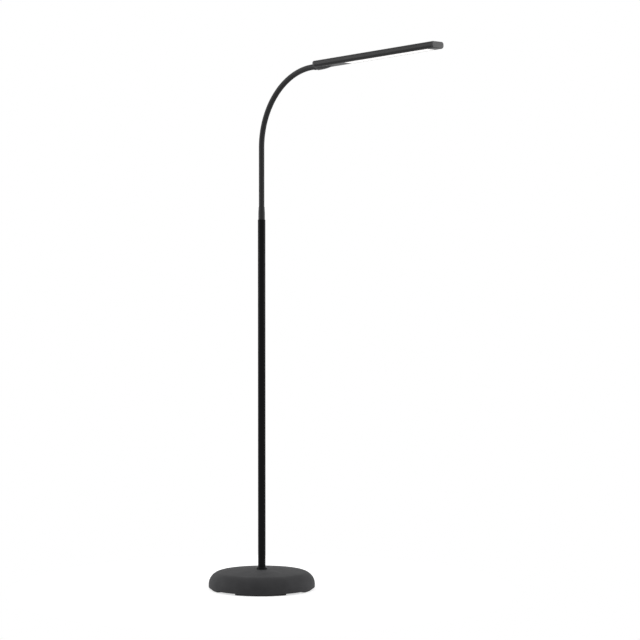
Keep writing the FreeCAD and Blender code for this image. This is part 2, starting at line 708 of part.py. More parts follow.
def make_rear_cover():
    """The moulded cover of the rear underside: a shell with hump, screw wells and board rails."""
    start = HOUSING_START + SLIP
    half = SLOT_HALF - SLIP
    flat = head_block(start, COVER_END, half, HEAD_BOTTOM, PLATE_HIGH)
    wings = head_block(start, COVER_END, PLATE_HALF, PLATE_LOW, PLATE_HIGH)
    floor = HEAD_BOTTOM + MOULDED_WALL
    pocket = head_block(
        SADDLE_END + MOULDED_WALL, COVER_END - MOULDED_WALL, half - MOULDED_WALL, floor, PLATE_HIGH
    )
    cuts = [
        pocket,
        along_head(UPPER_FERRULE_RADIUS + SLIP, HEAD_START - 1, UPPER_FERRULE_END + LOOSE),
        along_head(LEAD_RADIUS + 2 * LOOSE, HEAD_START, DIMMER_START),
    ]
    well = COVER_SCREW_HEAD + SLIP
    hole = COVER_SCREW_SHANK + SLIP
    for along, side in cover_screw_places():
        cuts.append(upright_bar(well, along, side, HEAD_BOTTOM - 1, COVER_SCREW_FACE))
        cuts.append(upright_bar(hole, along, side, COVER_SCREW_FACE, DIMMER_LEVEL))
    rails = []
    for side in (-DIMMER_RAIL_OFFSET, DIMMER_RAIL_OFFSET):
        corner = Vector(DIMMER_START, side - MOULDED_WALL / 2, floor - SLIP)
        rails.append(block(corner, Vector(DIMMER_END, side + MOULDED_WALL / 2, DIMMER_LEVEL)))
    return joined(joined(flat, wings, make_hump()).cut(cuts), *rails)


def make_cover_screws():
    screws = []
    for along, side in cover_screw_places():
        head = upright_bar(COVER_SCREW_HEAD, along, side, HEAD_BOTTOM + SLIP, COVER_SCREW_FACE)
        tip = DIMMER_LEVEL + COVER_SCREW_GRIP
        shank = upright_bar(COVER_SCREW_SHANK, along, side, COVER_SCREW_FACE, tip)
        screws.append(joined(head, shank))
    return screws


def make_neck_saddle():
    """The block in the head's rear end that takes the upper ferrule and the cover's screws."""
    start = HOUSING_START + SLIP
    bottom = PLATE_HIGH + SLIP
    above_cover = head_block(start, SADDLE_END, HEAD_HALF, bottom, HEAD_TOP)
    body = head_hollow(start, SADDLE_END, 2 * SLIP).common(above_cover)
    lead_room = LEAD_RADIUS + LEAD_ROOM
    cuts = [
        along_head(UPPER_FERRULE_RADIUS + SLIP, start, UPPER_FERRULE_END + SLIP),
        along_head(lead_room, start, SADDLE_END),
    ]
    hole_top = DIMMER_LEVEL + COVER_SCREW_GRIP + LOOSE
    for along, side in cover_screw_places():
        cuts.append(upright_bar(COVER_SCREW_SHANK + SLIP, along, side, bottom - 1, hole_top))
    return body.cut(cuts)


def make_diffuser():
    """An opal tray: its rim lies on the lips, and its face fills the slot almost flush."""
    start = COVER_END + LOOSE
    half = SLOT_HALF - SLIP
    low = HEAD_BOTTOM + DIFFUSER_RECESS
    rim_top = PLATE_LOW + DIFFUSER_THICKNESS
    face = head_block(start, LIGHT_END, half, low, rim_top)
    lower = [
        edge for edge in face.Edges
        if edge.BoundBox.ZMax < low + 0.01 and edge.BoundBox.XLength > HEAD_WIDTH
    ]
    face = face.makeFillet(DIFFUSER_ROUND, lower)
    rim = head_block(start, LIGHT_END, PLATE_HALF, PLATE_LOW, rim_top)
    wall = DIFFUSER_THICKNESS
    hollow = head_block(start + wall, LIGHT_END - wall, half - wall, low + wall, rim_top)
    return joined(face, rim).cut(hollow)


def make_led_board():
    half = LED_BOARD_WIDTH / 2
    return head_block(LED_BOARD_START, LED_BOARD_END, half, LED_BOARD_UNDERSIDE, LED_BOARD_TOP)


def make_leds():
    """Rows of small light-emitting chips under the board."""
    length, width, height = LED_SIZE
    pitch = (LED_BOARD_END - LED_BOARD_START - 2 * LED_MARGIN) / (LEDS_PER_ROW - 1)
    chips = []
    for row in range(LED_ROWS):
        side = (row - (LED_ROWS - 1) / 2) * LED_ROW_SPACING
        for number in range(LEDS_PER_ROW):
            middle = LED_BOARD_START + LED_MARGIN + pitch * number
            corner = Vector(middle - length / 2, side - width / 2, LED_BOARD_UNDERSIDE - height)
            chips.append(block(corner, corner + Vector(length, width, height)))
    return chips


def make_reflector():
    """A white frame with slanted walls between the LED board and the diffuser."""
    low = PLATE_LOW + DIFFUSER_THICKNESS + SLIP
    high = LED_BOARD_UNDERSIDE - SLIP

    def frustum(inset):
        wires = []
        for level, draw in ((low, 0), (high, REFLECTOR_SLANT)):
            start = LED_BOARD_START + draw + inset
            end = LED_BOARD_END - draw - inset
            half = PLATE_HALF - SLIP - draw - inset
            corners = [
                Vector(start, -half, level),
                Vector(end, -half, level),
                Vector(end, half, level),
                Vector(start, half, level),
            ]
            wires.append(Part.makePolygon(corners + [corners[0]]))
        return Part.makeLoft(wires, True, True)

    return frustum(0).cut(frustum(REFLECTOR_WALL))


def make_dimmer_board():
    """The control board: inlet block below, storage parts and the touch sensor's pad above."""
    half = DIMMER_WIDTH / 2
    top = DIMMER_LEVEL + BOARD_THICKNESS
    part_size = 8.0
    part_height = 3.3
    board = head_block(DIMMER_START, DIMMER_END, half, DIMMER_LEVEL, top)
    inlet_end = DIMMER_START + part_size
    inlet = head_block(DIMMER_START, inlet_end, part_size / 2, PLATE_HIGH + SLIP, DIMMER_LEVEL)
    coil = head_block(DIMMER_START + 2, inlet_end, part_size / 2, top, top + part_height)
    sensor = upright_bar(part_height, TOUCH_KEY_PLACE, 0, top, HEAD_INNER_TOP - SLIP)
    capacitor = upright_bar(part_size / 3, DIMMER_END - 6, -part_size, top, top + part_height)
    twin = upright_bar(part_size / 3, DIMMER_END - 6, part_size, top, top + part_height)
    return joined(board, inlet, coil, sensor, capacitor, twin)


def make_board_link():
    """The short flat cable from the control board up to the LED board."""
    low = DIMMER_LEVEL + BOARD_THICKNESS
    high = LED_BOARD_UNDERSIDE
    half = LINK_WIDTH / 2
    rise = LED_BOARD_START - 2
    run = head_block(DIMMER_END - half, rise + LINK_THICKNESS, half, low, low + LINK_THICKNESS)
    up = head_block(rise, rise + LINK_THICKNESS, half, low, high)
    end = head_block(rise, LED_BOARD_START + 1.5, half, high - LINK_THICKNESS, high)
    return joined(run, up, end)


def make_touch_key():
    """A flush round touch area in the top, slightly dished."""
    top = HEAD_TOP - SLIP
    key = upright_bar(TOUCH_KEY_RADIUS, TOUCH_KEY_PLACE, 0, HEAD_INNER_TOP, top)
    centre = Vector(TOUCH_KEY_PLACE, 0, top - TOUCH_KEY_DEPTH + TOUCH_KEY_DISH)
    return key.cut(Part.makeSphere(TOUCH_KEY_DISH, centre))


def in_lamp(shape):
    """A shape of the head's frame, moved to its place on the lamp."""
    end = neck_frame(NECK_TO_HEAD)
    turn = FreeCAD.Rotation(Vector(0, 1, 0), NECK_BEND_ANGLE - 90)
    moved = shape.copy()
    moved.Placement = FreeCAD.Placement(end.Base, turn).multiply(moved.Placement)
    return moved


# Assembly

os.makedirs("parts", exist_ok=True)

BASE_AND_POLE = {
    "base_cover": [make_base_cover()],
    "base_plate": [make_base_plate()],
    "base_screws": make_base_screws(),
    "base_weight": [make_base_weight()],
    "foot_pads": make_foot_pads(),
    "cord_bush": [make_cord_bush()],
    "terminal_block": [make_terminal_block()],
    "pole_collar": [make_collar()],
    "pole_lower": [tube(POLE_RADIUS, POLE_BORE, BASE_HEIGHT, POLE_SEAM)],
    "pole_upper": [tube(POLE_RADIUS, POLE_BORE, POLE_SEAM, POLE_TOP)],
    "base_rod": [tube(ROD_RADIUS, ROD_BORE, ROD_BOTTOM, BASE_HEIGHT + FOOT_STUD)],
    "rod_washer": [tube(WASHER_RADIUS, ROD_RADIUS + LOOSE, RECESS_TOP - WASHER_THICKNESS, RECESS_TOP)],
    "rod_nut": [make_nut()],
    "pole_foot_insert": [
        tube(POLE_BORE - SLIP, ROD_RADIUS + THREAD_CLEARANCE, BASE_HEIGHT, BASE_HEIGHT + FOOT_INSERT)
    ],
    "pole_seam_socket": [
        tube(POLE_BORE - SLIP, ROD_RADIUS + THREAD_CLEARANCE, POLE_SEAM - SEAM_INSERT, POLE_SEAM)
    ],
    "pole_seam_stud": [make_seam_stud()],
    "pole_top_insert": [
        tube(POLE_BORE - SLIP, ROD_RADIUS + THREAD_CLEARANCE, POLE_TOP - TOP_INSERT, POLE_TOP)
    ],
    "lead_pole": [make_pole_lead()],
}

NECK = {
    "neck_ferrule_lower": [make_lower_ferrule()],
    "neck_sleeve": [neck_span(-SLEEVE_TUCK, SLEEVE_END, SLEEVE_RADIUS, SLEEVE_BORE)],
    "lead_neck": [neck_span(-CORE_TUCK, NECK_TO_HEAD + CORE_END, LEAD_RADIUS, 0)],
}
for number, span in enumerate(make_neck_core()):
    NECK["neck_core_%02d" % number] = [span]

HEAD = {
    "neck_ferrule_upper": [make_upper_ferrule()],
    "neck_saddle": [make_neck_saddle()],
    "head_housing": [make_head_housing()],
    "head_rear_cap": [make_rear_cap()],
    "head_front_cap": [make_front_cap()],
    "head_rear_cover": [make_rear_cover()],
    "cover_screws": make_cover_screws(),
    "diffuser": [make_diffuser()],
    "reflector": [make_reflector()],
    "led_board": [make_led_board()],
    "leds": make_leds(),
    "dimmer_board": [make_dimmer_board()],
    "board_link": [make_board_link()],
    "touch_key": [make_touch_key()],
    "lead_head": [along_head(LEAD_RADIUS, CORE_END, DIMMER_START)],
}

for name, solids in BASE_AND_POLE.items():
    save(name, solids)
for name, solids in NECK.items():
    save(name, solids)
for name, solids in HEAD.items():
    save(name, [in_lamp(solid) for solid in solids])
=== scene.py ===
# %% [markdown]
# # A gooseneck reading lamp
# The lamp is a heavy round foot, a slim pole in two lengths, a neck that bends anywhere and a flat
# bar of light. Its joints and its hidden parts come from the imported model. Here each surface that
# shows is modelled with Blender's own tools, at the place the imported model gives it.
# The first cell loads that model and notes how large it is.

# %% Load the frame
import json
import math

import bmesh
import bpy
from mathutils import Matrix, Vector


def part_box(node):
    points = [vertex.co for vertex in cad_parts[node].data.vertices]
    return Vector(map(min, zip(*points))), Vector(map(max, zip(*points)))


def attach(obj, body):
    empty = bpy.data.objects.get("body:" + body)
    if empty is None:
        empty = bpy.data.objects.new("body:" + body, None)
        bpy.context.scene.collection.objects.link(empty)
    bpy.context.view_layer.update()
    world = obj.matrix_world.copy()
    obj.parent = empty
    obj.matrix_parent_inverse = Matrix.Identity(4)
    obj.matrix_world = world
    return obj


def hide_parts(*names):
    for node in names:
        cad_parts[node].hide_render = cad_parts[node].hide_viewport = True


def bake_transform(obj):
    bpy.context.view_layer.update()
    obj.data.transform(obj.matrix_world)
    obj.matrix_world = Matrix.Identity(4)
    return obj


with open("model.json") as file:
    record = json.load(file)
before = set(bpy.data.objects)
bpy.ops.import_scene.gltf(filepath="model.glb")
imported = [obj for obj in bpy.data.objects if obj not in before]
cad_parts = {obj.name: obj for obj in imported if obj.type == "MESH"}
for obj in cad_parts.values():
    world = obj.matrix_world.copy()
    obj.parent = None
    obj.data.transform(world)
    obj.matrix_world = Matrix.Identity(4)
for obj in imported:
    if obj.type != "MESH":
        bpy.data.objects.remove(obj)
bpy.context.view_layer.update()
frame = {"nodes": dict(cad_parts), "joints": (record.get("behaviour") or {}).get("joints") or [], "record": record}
MM = 0.001

# %% [markdown]
# ## The camera
# The photograph looks along the diagonal between the head's direction and the side, a little
# downwards, through a long lens: the far and near ends of the head differ little in size. A long
# lens and a distant camera give the same look.

# %% Set the camera
PHOTO_SIZE = 640
FOCAL_PIXELS = 2096.0
CAMERA_PLACE = Vector((3.600, -3.405, 0.741))
CAMERA_AZIMUTH = math.radians(45.0)
CAMERA_PITCH = math.radians(1.201)

camera_data = bpy.data.cameras.new("camera")
camera_data.sensor_width = 36.0
camera_data.lens = FOCAL_PIXELS / PHOTO_SIZE * camera_data.sensor_width
camera = bpy.data.objects.new("camera", camera_data)
camera.location = CAMERA_PLACE
camera.rotation_euler = (math.radians(90) - CAMERA_PITCH, 0, CAMERA_AZIMUTH)
bpy.context.scene.collection.objects.link(camera)
bpy.context.scene.camera = camera
bpy.context.scene.view_settings.view_transform = "Standard"
print("lens:", round(camera_data.lens, 1), "mm")

# %% [markdown]
# ## Colours and nodes
# A colour given here is an sRGB value, and shaders work with linear light, so one function
# turns one into the other. A second small function adds a shader node, sets its values and links
# its inputs, and every material below is built with it.

# %% Helpers for shader nodes
def colour(code):
    """A linear colour from an sRGB hex value."""
    channels = [int(code[place:place + 2], 16) / 255 for place in (1, 3, 5)]
    linear = [c / 12.92 if c <= 0.04045 else ((c + 0.055) / 1.055) ** 2.4 for c in channels]
    return (*linear, 1.0)


def node(tree, kind, values=None, links=None, **settings):
    """Adds a shader node, sets its settings and inputs, and links sockets to its inputs."""
    made = tree.nodes.new(kind)
    for name, value in settings.items():
        setattr(made, name, value)
    for name, value in (values or {}).items():
        made.inputs[name].default_value = value
    for name, socket in (links or {}).items():
        tree.links.new(socket, made.inputs[name])
    return made


# %% [markdown]
# ## A coated surface
# Nearly every surface of this lamp is black, so the finish tells the materials apart: how fine the
# grain is, how deep, which way it runs, and how evenly the surface shines. One function makes a
# surface from these, measured in millimetres on the real lamp. The grain bumps the surface, and
# wide soft patches move the gloss a little, as hands and spray guns do.

# %% A surface with grain and uneven gloss
def surface(
    name, base, roughness, grain, depth, stretch=(1, 1, 1), detail=3.0, uneven=0.04, **values
):
    """A material with grain in millimetres. Returns it, its node tree and the grain's noise."""
    material = bpy.data.materials.new(name)
    material.use_nodes = True
    tree = material.node_tree
    shader = tree.nodes["Principled BSDF"]
    shader.inputs["Base Color"].default_value = colour(base)
    for socket, value in values.items():
        shader.inputs[socket.replace("_", " ")].default_value = value
    place = node(tree, "ShaderNodeTexCoord").outputs["Object"]
    drawn = node(tree, "ShaderNodeMapping", {"Scale": stretch}, {"Vector": place}).outputs[0]
    noise = node(
        tree, "ShaderNodeTexNoise", {"Scale": 1 / (grain * MM), "Detail": detail}, {"Vector": drawn}
    )
    bump = node(
        tree, "ShaderNodeBump", {"Distance": depth * MM}, {"Height": noise.outputs[0]}
    )
    tree.links.new(bump.outputs["Normal"], shader.inputs["Normal"])
    patches = node(tree, "ShaderNodeTexNoise", {"Scale": 1 / (30 * MM)}, {"Vector": place})
    gloss = node(
        tree,
        "ShaderNodeMapRange",
        {
            "From Min": 0.3,
            "From Max": 0.7,
            "To Min": roughness - uneven,
            "To Max": roughness + uneven,
        },
        {"Value": patches.outputs[0]},
    )
    tree.links.new(gloss.outputs["Result"], shader.inputs["Roughness"])
    return material, tree, noise


# %% [markdown]
# Some surfaces are also uneven in colour. A second function lets the grain of such a surface move
# its colour between a dark and a light shade.

# %% A surface with two shades
def two_shades(made, dark, light):
    """Lets the grain of a surface choose between two colours."""
    material, tree, noise = made
    mix = node(tree, "ShaderNodeValToRGB", None, {"Fac": noise.outputs[0]})
    mix.color_ramp.elements[0].position = 0.35
    mix.color_ramp.elements[0].color = colour(dark)
    mix.color_ramp.elements[1].position = 0.65
    mix.color_ramp.elements[1].color = colour(light)
    tree.links.new(mix.outputs["Color"], tree.nodes["Principled BSDF"].inputs["Base Color"])
    return made


# %% [markdown]
# ## Finishes that show
# Powder coat on the steel foot is a soft satin, nearly matt, with a faint orange peel. The pole is
# sprayed and stoved enamel, the glossiest finish. The neck's skin is matt silicone rubber. The
# head is an extruded channel with a fine satin coat, and its ends are moulded ABS with an eroded
# texture. Reflections show white all round here, so the black finishes have a low specular level,
# lower than the real ones, and stay as black as in the photograph.

# %% Metal finishes
# Baked powder flows into soft dimples about a millimetre wide, so highlights break up a little.
powder_coat = surface(
    "satin_powder_coat", "#28282a", 0.8, 1.4, 0.012, detail=2.0, Specular_IOR_Level=0.45
)
# Enamel that is stoved on a drawn tube is smooth, and only long soft ripples remain in it.
stoved_enamel = surface(
    "gloss_stoved_enamel", "#181819", 0.17, 9.0, 0.006, (1, 1, 0.08), 1.0, 0.03,
    Specular_IOR_Level=0.05,
)
# A black anodised extrusion keeps faint lines along its length from the die.
black_anodised = surface(
    "black_anodised_aluminium", "#1b1b1c", 0.42, 1.2, 0.006, (0.02, 1, 1), 2.0,
    Specular_IOR_Level=0.2,
)
# The neck's metal ends are turned, blackened and lacquered, with fine rings from the lathe.
lacquered_steel = surface(
    "black_lacquered_steel", "#2a2a2b", 0.5, 0.6, 0.004, (0.02, 0.02, 1), 1.0,
    Specular_IOR_Level=0.21,
)

# %% Moulded finishes
# Moulded silicone is matt and picks up a little dust, which the eye reads as a grey bloom.
silicone = two_shades(
    surface("matt_silicone_rubber", "#2f2f30", 0.6, 0.9, 0.01, Specular_IOR_Level=0.17),
    "#2c2c2d",
    "#333334",
)
# Spark-eroded moulds leave a fine even grain of about a fifth of a millimetre. It is drawn at
# half a millimetre here, because the real grain is finer than a pixel.
eroded_abs = surface(
    "textured_moulded_abs", "#262627", 0.5, 0.5, 0.012, detail=4.0, Specular_IOR_Level=0.45
)
# Die-cut foam rubber shows its small closed cells as a soft speckle.
foam_rubber = two_shades(
    surface("cellular_rubber", "#171718", 0.75, 0.8, 0.06, detail=5.0), "#131314", "#1e1e1f"
)
# The touch area is polished in the mould, so that it reads as a key in the satin top.
polished_key = surface("gloss_moulded_key", "#121213", 0.18, 0.8, 0.002)
# Nylon is waxy and a little softer in its shine than ABS.
nylon = surface("moulded_nylon", "#161617", 0.52, 0.8, 0.01)

# %% [markdown]
# Opal acrylic scatters the light of the chips behind it, so the whole face of the strip glows
# evenly. Its brightness is set so that the strip is almost pure white, as in the photograph.

# %% The light strip's finish
opal_acrylic = surface("opal_acrylic", "#f7f6f5", 0.45, 0.7, 0.01)
opal_shader = opal_acrylic[1].nodes["Principled BSDF"]
opal_shader.inputs["Emission Color"].default_value = colour("#fffcfa")
opal_shader.inputs["Emission Strength"].default_value = 0.6

# %% [markdown]
# ## Finishes inside
# The parts inside the foot and the head are bare: zinc-plated steel, rough cast iron, white solder
# mask. They show where the underside is seen, and a part that is opened shows the rest.

# %% Finishes that hide
# Bright zinc is a metal with a cloudy blue-grey crystal pattern.
zinc_plate = two_shades(
    surface("zinc_plated_steel", "#a9acb0", 0.33, 4.0, 0.01, uneven=0.08, Metallic=1.0),
    "#9b9ea4",
    "#b9bbbe",
)
# Hardened spring wire is drawn and oiled, darker than plate, with lines round the core.
spring_wire = surface(
    "oiled_spring_steel", "#5a5a5c", 0.38, 1.2, 0.05, (0.1, 0.1, 1), 1.0, Metallic=1.0
)
# Sand leaves a coarse pebbled skin on grey iron.
cast_iron = two_shades(
    surface("sand_cast_iron", "#3c3a38", 0.72, 1.8, 0.25, detail=5.0, Metallic=0.6),
    "#343230",
    "#47433f",
)
# A die casting is pale and dull, and its skin shows where the metal flowed.
die_casting = surface("die_cast_zinc", "#9a9b9d", 0.45, 6.0, 0.02, Metallic=1.0)
# White mouldings scatter light back to the strip.
white_moulding = surface("white_moulded_abs", "#eeeeec", 0.5, 0.8, 0.01)
# Solder mask is sprayed lacquer: even, a little glossy, with a fine ripple over the copper.
white_mask = surface("white_solder_mask", "#eceae2", 0.3, 2.5, 0.02, detail=1.0)
green_mask = surface("green_solder_mask", "#0f4a28", 0.3, 2.5, 0.02, detail=1.0)
# Chips are filled with clear resin that holds yellow phosphor.
phosphor = surface("phosphor_resin", "#e8cf6a", 0.3, 0.8, 0.01)
film_cable = surface("white_film_cable", "#e6e6e4", 0.4, 0.8, 0.005)
terminal_nylon = surface("natural_moulded_nylon", "#dcd9cf", 0.45, 0.8, 0.01)
# A lead's jacket is extruded soft vinyl with a dull skin.
vinyl_jacket = surface("extruded_soft_vinyl", "#161616", 0.5, 0.8, 0.01)

# %% [markdown]
# ## One finish for each slot
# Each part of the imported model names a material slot. The pieces made here use the same slots, so
# one table gives both their finish.

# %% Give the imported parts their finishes
FINISH = {
    "base_paint": powder_coat,
    "pole_paint": stoved_enamel,
    "fitting_paint": lacquered_steel,
    "head_shell": black_anodised,
    "head_moulding": eroded_abs,
    "neck_skin": silicone,
    "pad_rubber": foam_rubber,
    "bush_plastic": nylon,
    "key_plastic": polished_key,
    "diffuser_plastic": opal_acrylic,
    "plain_steel": zinc_plate,
    "neck_wire": spring_wire,
    "cast_weight": cast_iron,
    "saddle_alloy": die_casting,
    "reflector_plastic": white_moulding,
    "led_board_metal": white_mask,
    "led_resin": phosphor,
    "board_laminate": green_mask,
    "link_film": film_cable,
    "terminal_plastic": terminal_nylon,
    "lead_jacket": vinyl_jacket,
}
slot_of = {part["node"]: part["material_slot"] for part in frame["record"]["subparts"]}
for name, part in frame["nodes"].items():
    part.data.materials.clear()
    part.data.materials.append(FINISH[slot_of[name]][0])
print("finishes:", len(bpy.data.materials))

# %% [markdown]
# ## Helpers for modelling
# The pieces are modelled as by hand: a primitive is added, faces or edges are picked by their
# place, and edit-mode tools act on what is picked. A finished piece keeps its place in its mesh,
# so its object's own transform is applied at the end.

# %% Picking
def start_clean():
    """Leaves edit mode and deselects everything, so that a tool acts on the new piece alone."""
    if bpy.context.object and bpy.context.object.mode != "OBJECT":
        bpy.ops.object.mode_set(mode="OBJECT")
    bpy.ops.object.select_all(action="DESELECT")


def pick(kind, test):
    """In edit mode, selects the faces, edges or vertices for which test is true."""
    modes = {"faces": "FACE", "edges": "EDGE", "verts": "VERT"}
    bpy.ops.mesh.select_mode(type=modes[kind])
    bpy.ops.mesh.select_all(action="DESELECT")
    mesh = bpy.context.object.data
    shape = bmesh.from_edit_mesh(mesh)
    for item in getattr(shape, kind):
        item.select_set(test(item))
    shape.select_flush_mode()
    bmesh.update_edit_mesh(mesh)


def direction(edge):
    """The unit direction of an edge."""
    return (edge.verts[1].co - edge.verts[0].co).normalized()


def height(edge):
    """The height of an edge's middle."""
    return (edge.verts[0].co.z + edge.verts[1].co.z) / 2


# %% [markdown]
# Modifiers are added and applied one by one, so that the next tool sees real faces. Two of them
# cut one piece out of another, or join two pieces.

# %% Modifiers
def add_modifier(piece, kind, **settings):
    """Adds a modifier, sets it and applies it."""
    modifier = piece.modifiers.new(kind.lower(), kind)
    for name, value in settings.items():
        setattr(modifier, name, value)
    bpy.context.view_layer.objects.active = piece
    bpy.ops.object.modifier_apply(modifier=modifier.name)


def combine(piece, tool, operation):
    """Cuts a tool out of a piece, or joins it on, and removes the tool."""
    start_clean()
    add_modifier(piece, "BOOLEAN", object=tool, operation=operation, solver="EXACT")
    bpy.data.objects.remove(tool)


def soften(piece, width):
    """Takes the sharpness off every edge, as tumbling and moulding do."""
    add_modifier(
        piece, "BEVEL", width=width * MM, segments=2, limit_method="ANGLE", angle_limit=0.9
    )


# %% [markdown]
# Each piece ends in the same way: its place goes into its mesh, and its round faces are smoothed.
# Plain smoothing would also tilt the shading of a large face towards the small round beside it,
# so the normals are weighted by area, which keeps a flat face flat and a long tube straight. Then
# the imported part that it stands for is hidden, and the piece is tied to the body that it moves with.

# %% Finishing and copying
def finish_piece(piece, name, body, replaced, slot, smooth_angle=30.0):
    """Names a piece, applies its place, smooths it, hides the CAD part it replaces and ties it to its body."""
    start_clean()
    piece.select_set(True)
    bpy.context.view_layer.objects.active = piece
    bpy.ops.object.transform_apply(location=True, rotation=True, scale=True)
    bpy.ops.object.shade_smooth_by_angle(angle=math.radians(smooth_angle))
    add_modifier(piece, "WEIGHTED_NORMAL", keep_sharp=True)
    piece.name = name
    piece.data.name = name
    piece.data.materials.clear()
    piece.data.materials.append(FINISH[slot][0])
    if replaced:
        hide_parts(*replaced)
    if body:
        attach(piece, body)
    return piece


def copy_piece(piece, matrix=Matrix.Identity(4)):
    """A copy of a piece with its own mesh, moved by a matrix."""
    copy = piece.copy()
    copy.data = piece.data.copy()
    bpy.context.scene.collection.objects.link(copy)
    copy.matrix_world = matrix
    return copy


def span(node_name):
    """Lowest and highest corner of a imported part, in millimetres."""
    low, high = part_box(node_name)
    return low / MM, high / MM


# %% [markdown]
# ## Turned shapes
# Foot, collar, pole and ferrules are all round about the pole. One way is to draw half an outline
# and spin it. Here a ring of vertices is extruded and scaled ring by ring instead, because the
# outline is then a plain list of radius and height that reads like a turner's drawing, and its
# rounds are short loops. The last ring meets the first, so the shell is closed.

# %% Turn a closed outline
def round_corner(centre_radius, centre_height, radius, start, end, steps):
    """Rings along an arc. Angles are in degrees, 0 outwards and 90 up."""
    rings = []
    for step in range(steps + 1):
        turn = math.radians(start + (end - start) * step / steps)
        across = centre_radius + radius * math.cos(turn)
        rings.append((across, centre_height + radius * math.sin(turn)))
    return rings


def turn_rings(rings, sides=96):
    """A closed shell from rings of (radius, height) in millimetres, about the pole's axis."""
    start_clean()
    radius, level = rings[0]
    bpy.ops.mesh.primitive_circle_add(
        vertices=sides, radius=radius * MM, location=(0, 0, level * MM)
    )
    bpy.ops.object.transform_apply(location=True)
    bpy.ops.object.mode_set(mode="EDIT")
    bpy.ops.mesh.select_all(action="SELECT")
    for next_radius, next_level in rings[1:] + rings[:1]:
        rise = (next_level - level) * MM
        bpy.ops.mesh.extrude_region_move(TRANSFORM_OT_translate={"value": (0, 0, rise)})
        share = next_radius / radius
        bpy.ops.transform.resize(value=(share, share, 1), center_override=(0, 0, next_level * MM))
        radius, level = next_radius, next_level
    bpy.ops.mesh.select_all(action="SELECT")
    bpy.ops.mesh.remove_doubles(threshold=0.01 * MM)
    bpy.ops.mesh.normals_make_consistent(inside=False)
    bpy.ops.object.mode_set(mode="OBJECT")
    return bpy.context.object


# %% [markdown]
# ## The foot
# The cover is a steel pressing: flat where the pole stands, then a gentle crown that runs into a
# tight round shoulder, and a lip rolled in underneath. The crown is an arc of a very large circle
# that starts level and meets the shoulder's arc without a kink, so its radius follows from both.

# %% Draw the foot's outline
FOOT_RADIUS = 126.0
FOOT_HEIGHT = 47.0
WIDEST_LEVEL = 12.0
SHOULDER = 30.0
SEAT_RADIUS = 17.0
COVER_WALL = 1.5
RIM_ROUND = 3.0
LIP_LEVEL = 4.0
LIP_INNER = 120.5
SEAT_HOLE = 5.3
BUSH_HOLE = 5.0

shoulder_radius = FOOT_RADIUS - SHOULDER
reach = shoulder_radius - SEAT_RADIUS
rise = FOOT_HEIGHT - WIDEST_LEVEL
crown = (reach**2 + rise**2 - SHOULDER**2) / (2 * (rise - SHOULDER))
crown_level = FOOT_HEIGHT - crown
meeting = math.degrees(math.atan2(WIDEST_LEVEL - crown_level, reach))
rim_radius = FOOT_RADIUS - RIM_ROUND
rim_level = LIP_LEVEL + RIM_ROUND
print("crown radius (mm):", round(crown), "meets the shoulder at", round(meeting), "degrees")

# %% Turn the foot's cover
outer = [(SEAT_HOLE, FOOT_HEIGHT)]
outer += round_corner(SEAT_RADIUS, crown_level, crown, 90, meeting, 10)
outer += round_corner(shoulder_radius, WIDEST_LEVEL, SHOULDER, meeting, 0, 24)[1:]
outer += round_corner(rim_radius, rim_level, RIM_ROUND, 0, -90, 8)
lip = [(LIP_INNER, LIP_LEVEL), (LIP_INNER, LIP_LEVEL + COVER_WALL)]
inner = round_corner(rim_radius, rim_level, RIM_ROUND - COVER_WALL, -90, 0, 4)
inner += round_corner(shoulder_radius, WIDEST_LEVEL, SHOULDER - COVER_WALL, 0, meeting, 16)
inner += round_corner(SEAT_RADIUS, crown_level, crown - COVER_WALL, meeting, 90, 6)[1:]
inner += [(SEAT_HOLE, FOOT_HEIGHT - COVER_WALL)]
foot_cover = turn_rings(outer + lip + inner, sides=192)

bush_low, bush_high = span("cord_bush")
bush_level = (bush_low.z + bush_high.z) / 2
start_clean()
bpy.ops.mesh.primitive_cylinder_add(
    vertices=48,
    radius=BUSH_HOLE * MM,
    depth=20 * MM,
    location=(-FOOT_RADIUS * MM, 0, bush_level * MM),
    rotation=(0, math.radians(90), 0),
)
combine(foot_cover, bpy.context.object, "DIFFERENCE")
finish_piece(foot_cover, "foot_cover", "base", ["base_cover"], "base_paint")
print("foot cover faces:", len(foot_cover.data.polygons))

# %% [markdown]
# ## Under the foot
# A flat steel plate closes the foot. It sits inside the lip, and four screws hold it to the
# weight. Real plates are stiffened by a pressed ring, so this one has a shallow groove.

# %% Turn the plate
plate_low, plate_high = span("base_plate")
groove = 0.6
edge = 0.3
plate_rings = [
    (0.5, plate_low.z),
    (56.0, plate_low.z),
    (58.0, plate_low.z + groove),
    (64.0, plate_low.z + groove),
    (66.0, plate_low.z),
]
plate_rings += round_corner(plate_high.x - edge, plate_low.z + edge, edge, -90, 0, 3)
plate_rings += round_corner(plate_high.x - edge, plate_high.z - edge, edge, 0, 90, 3)
plate_rings += [(0.5, plate_high.z)]
foot_plate = turn_rings(plate_rings)
finish_piece(foot_plate, "foot_plate", "base", ["base_plate"], "fitting_paint")

# %% [markdown]
# A screw is a turned piece too. Its thread could be a helix, but rings that swell and shrink look
# the same on a part this small and stay closed. Two thin blocks cut the cross in its head.

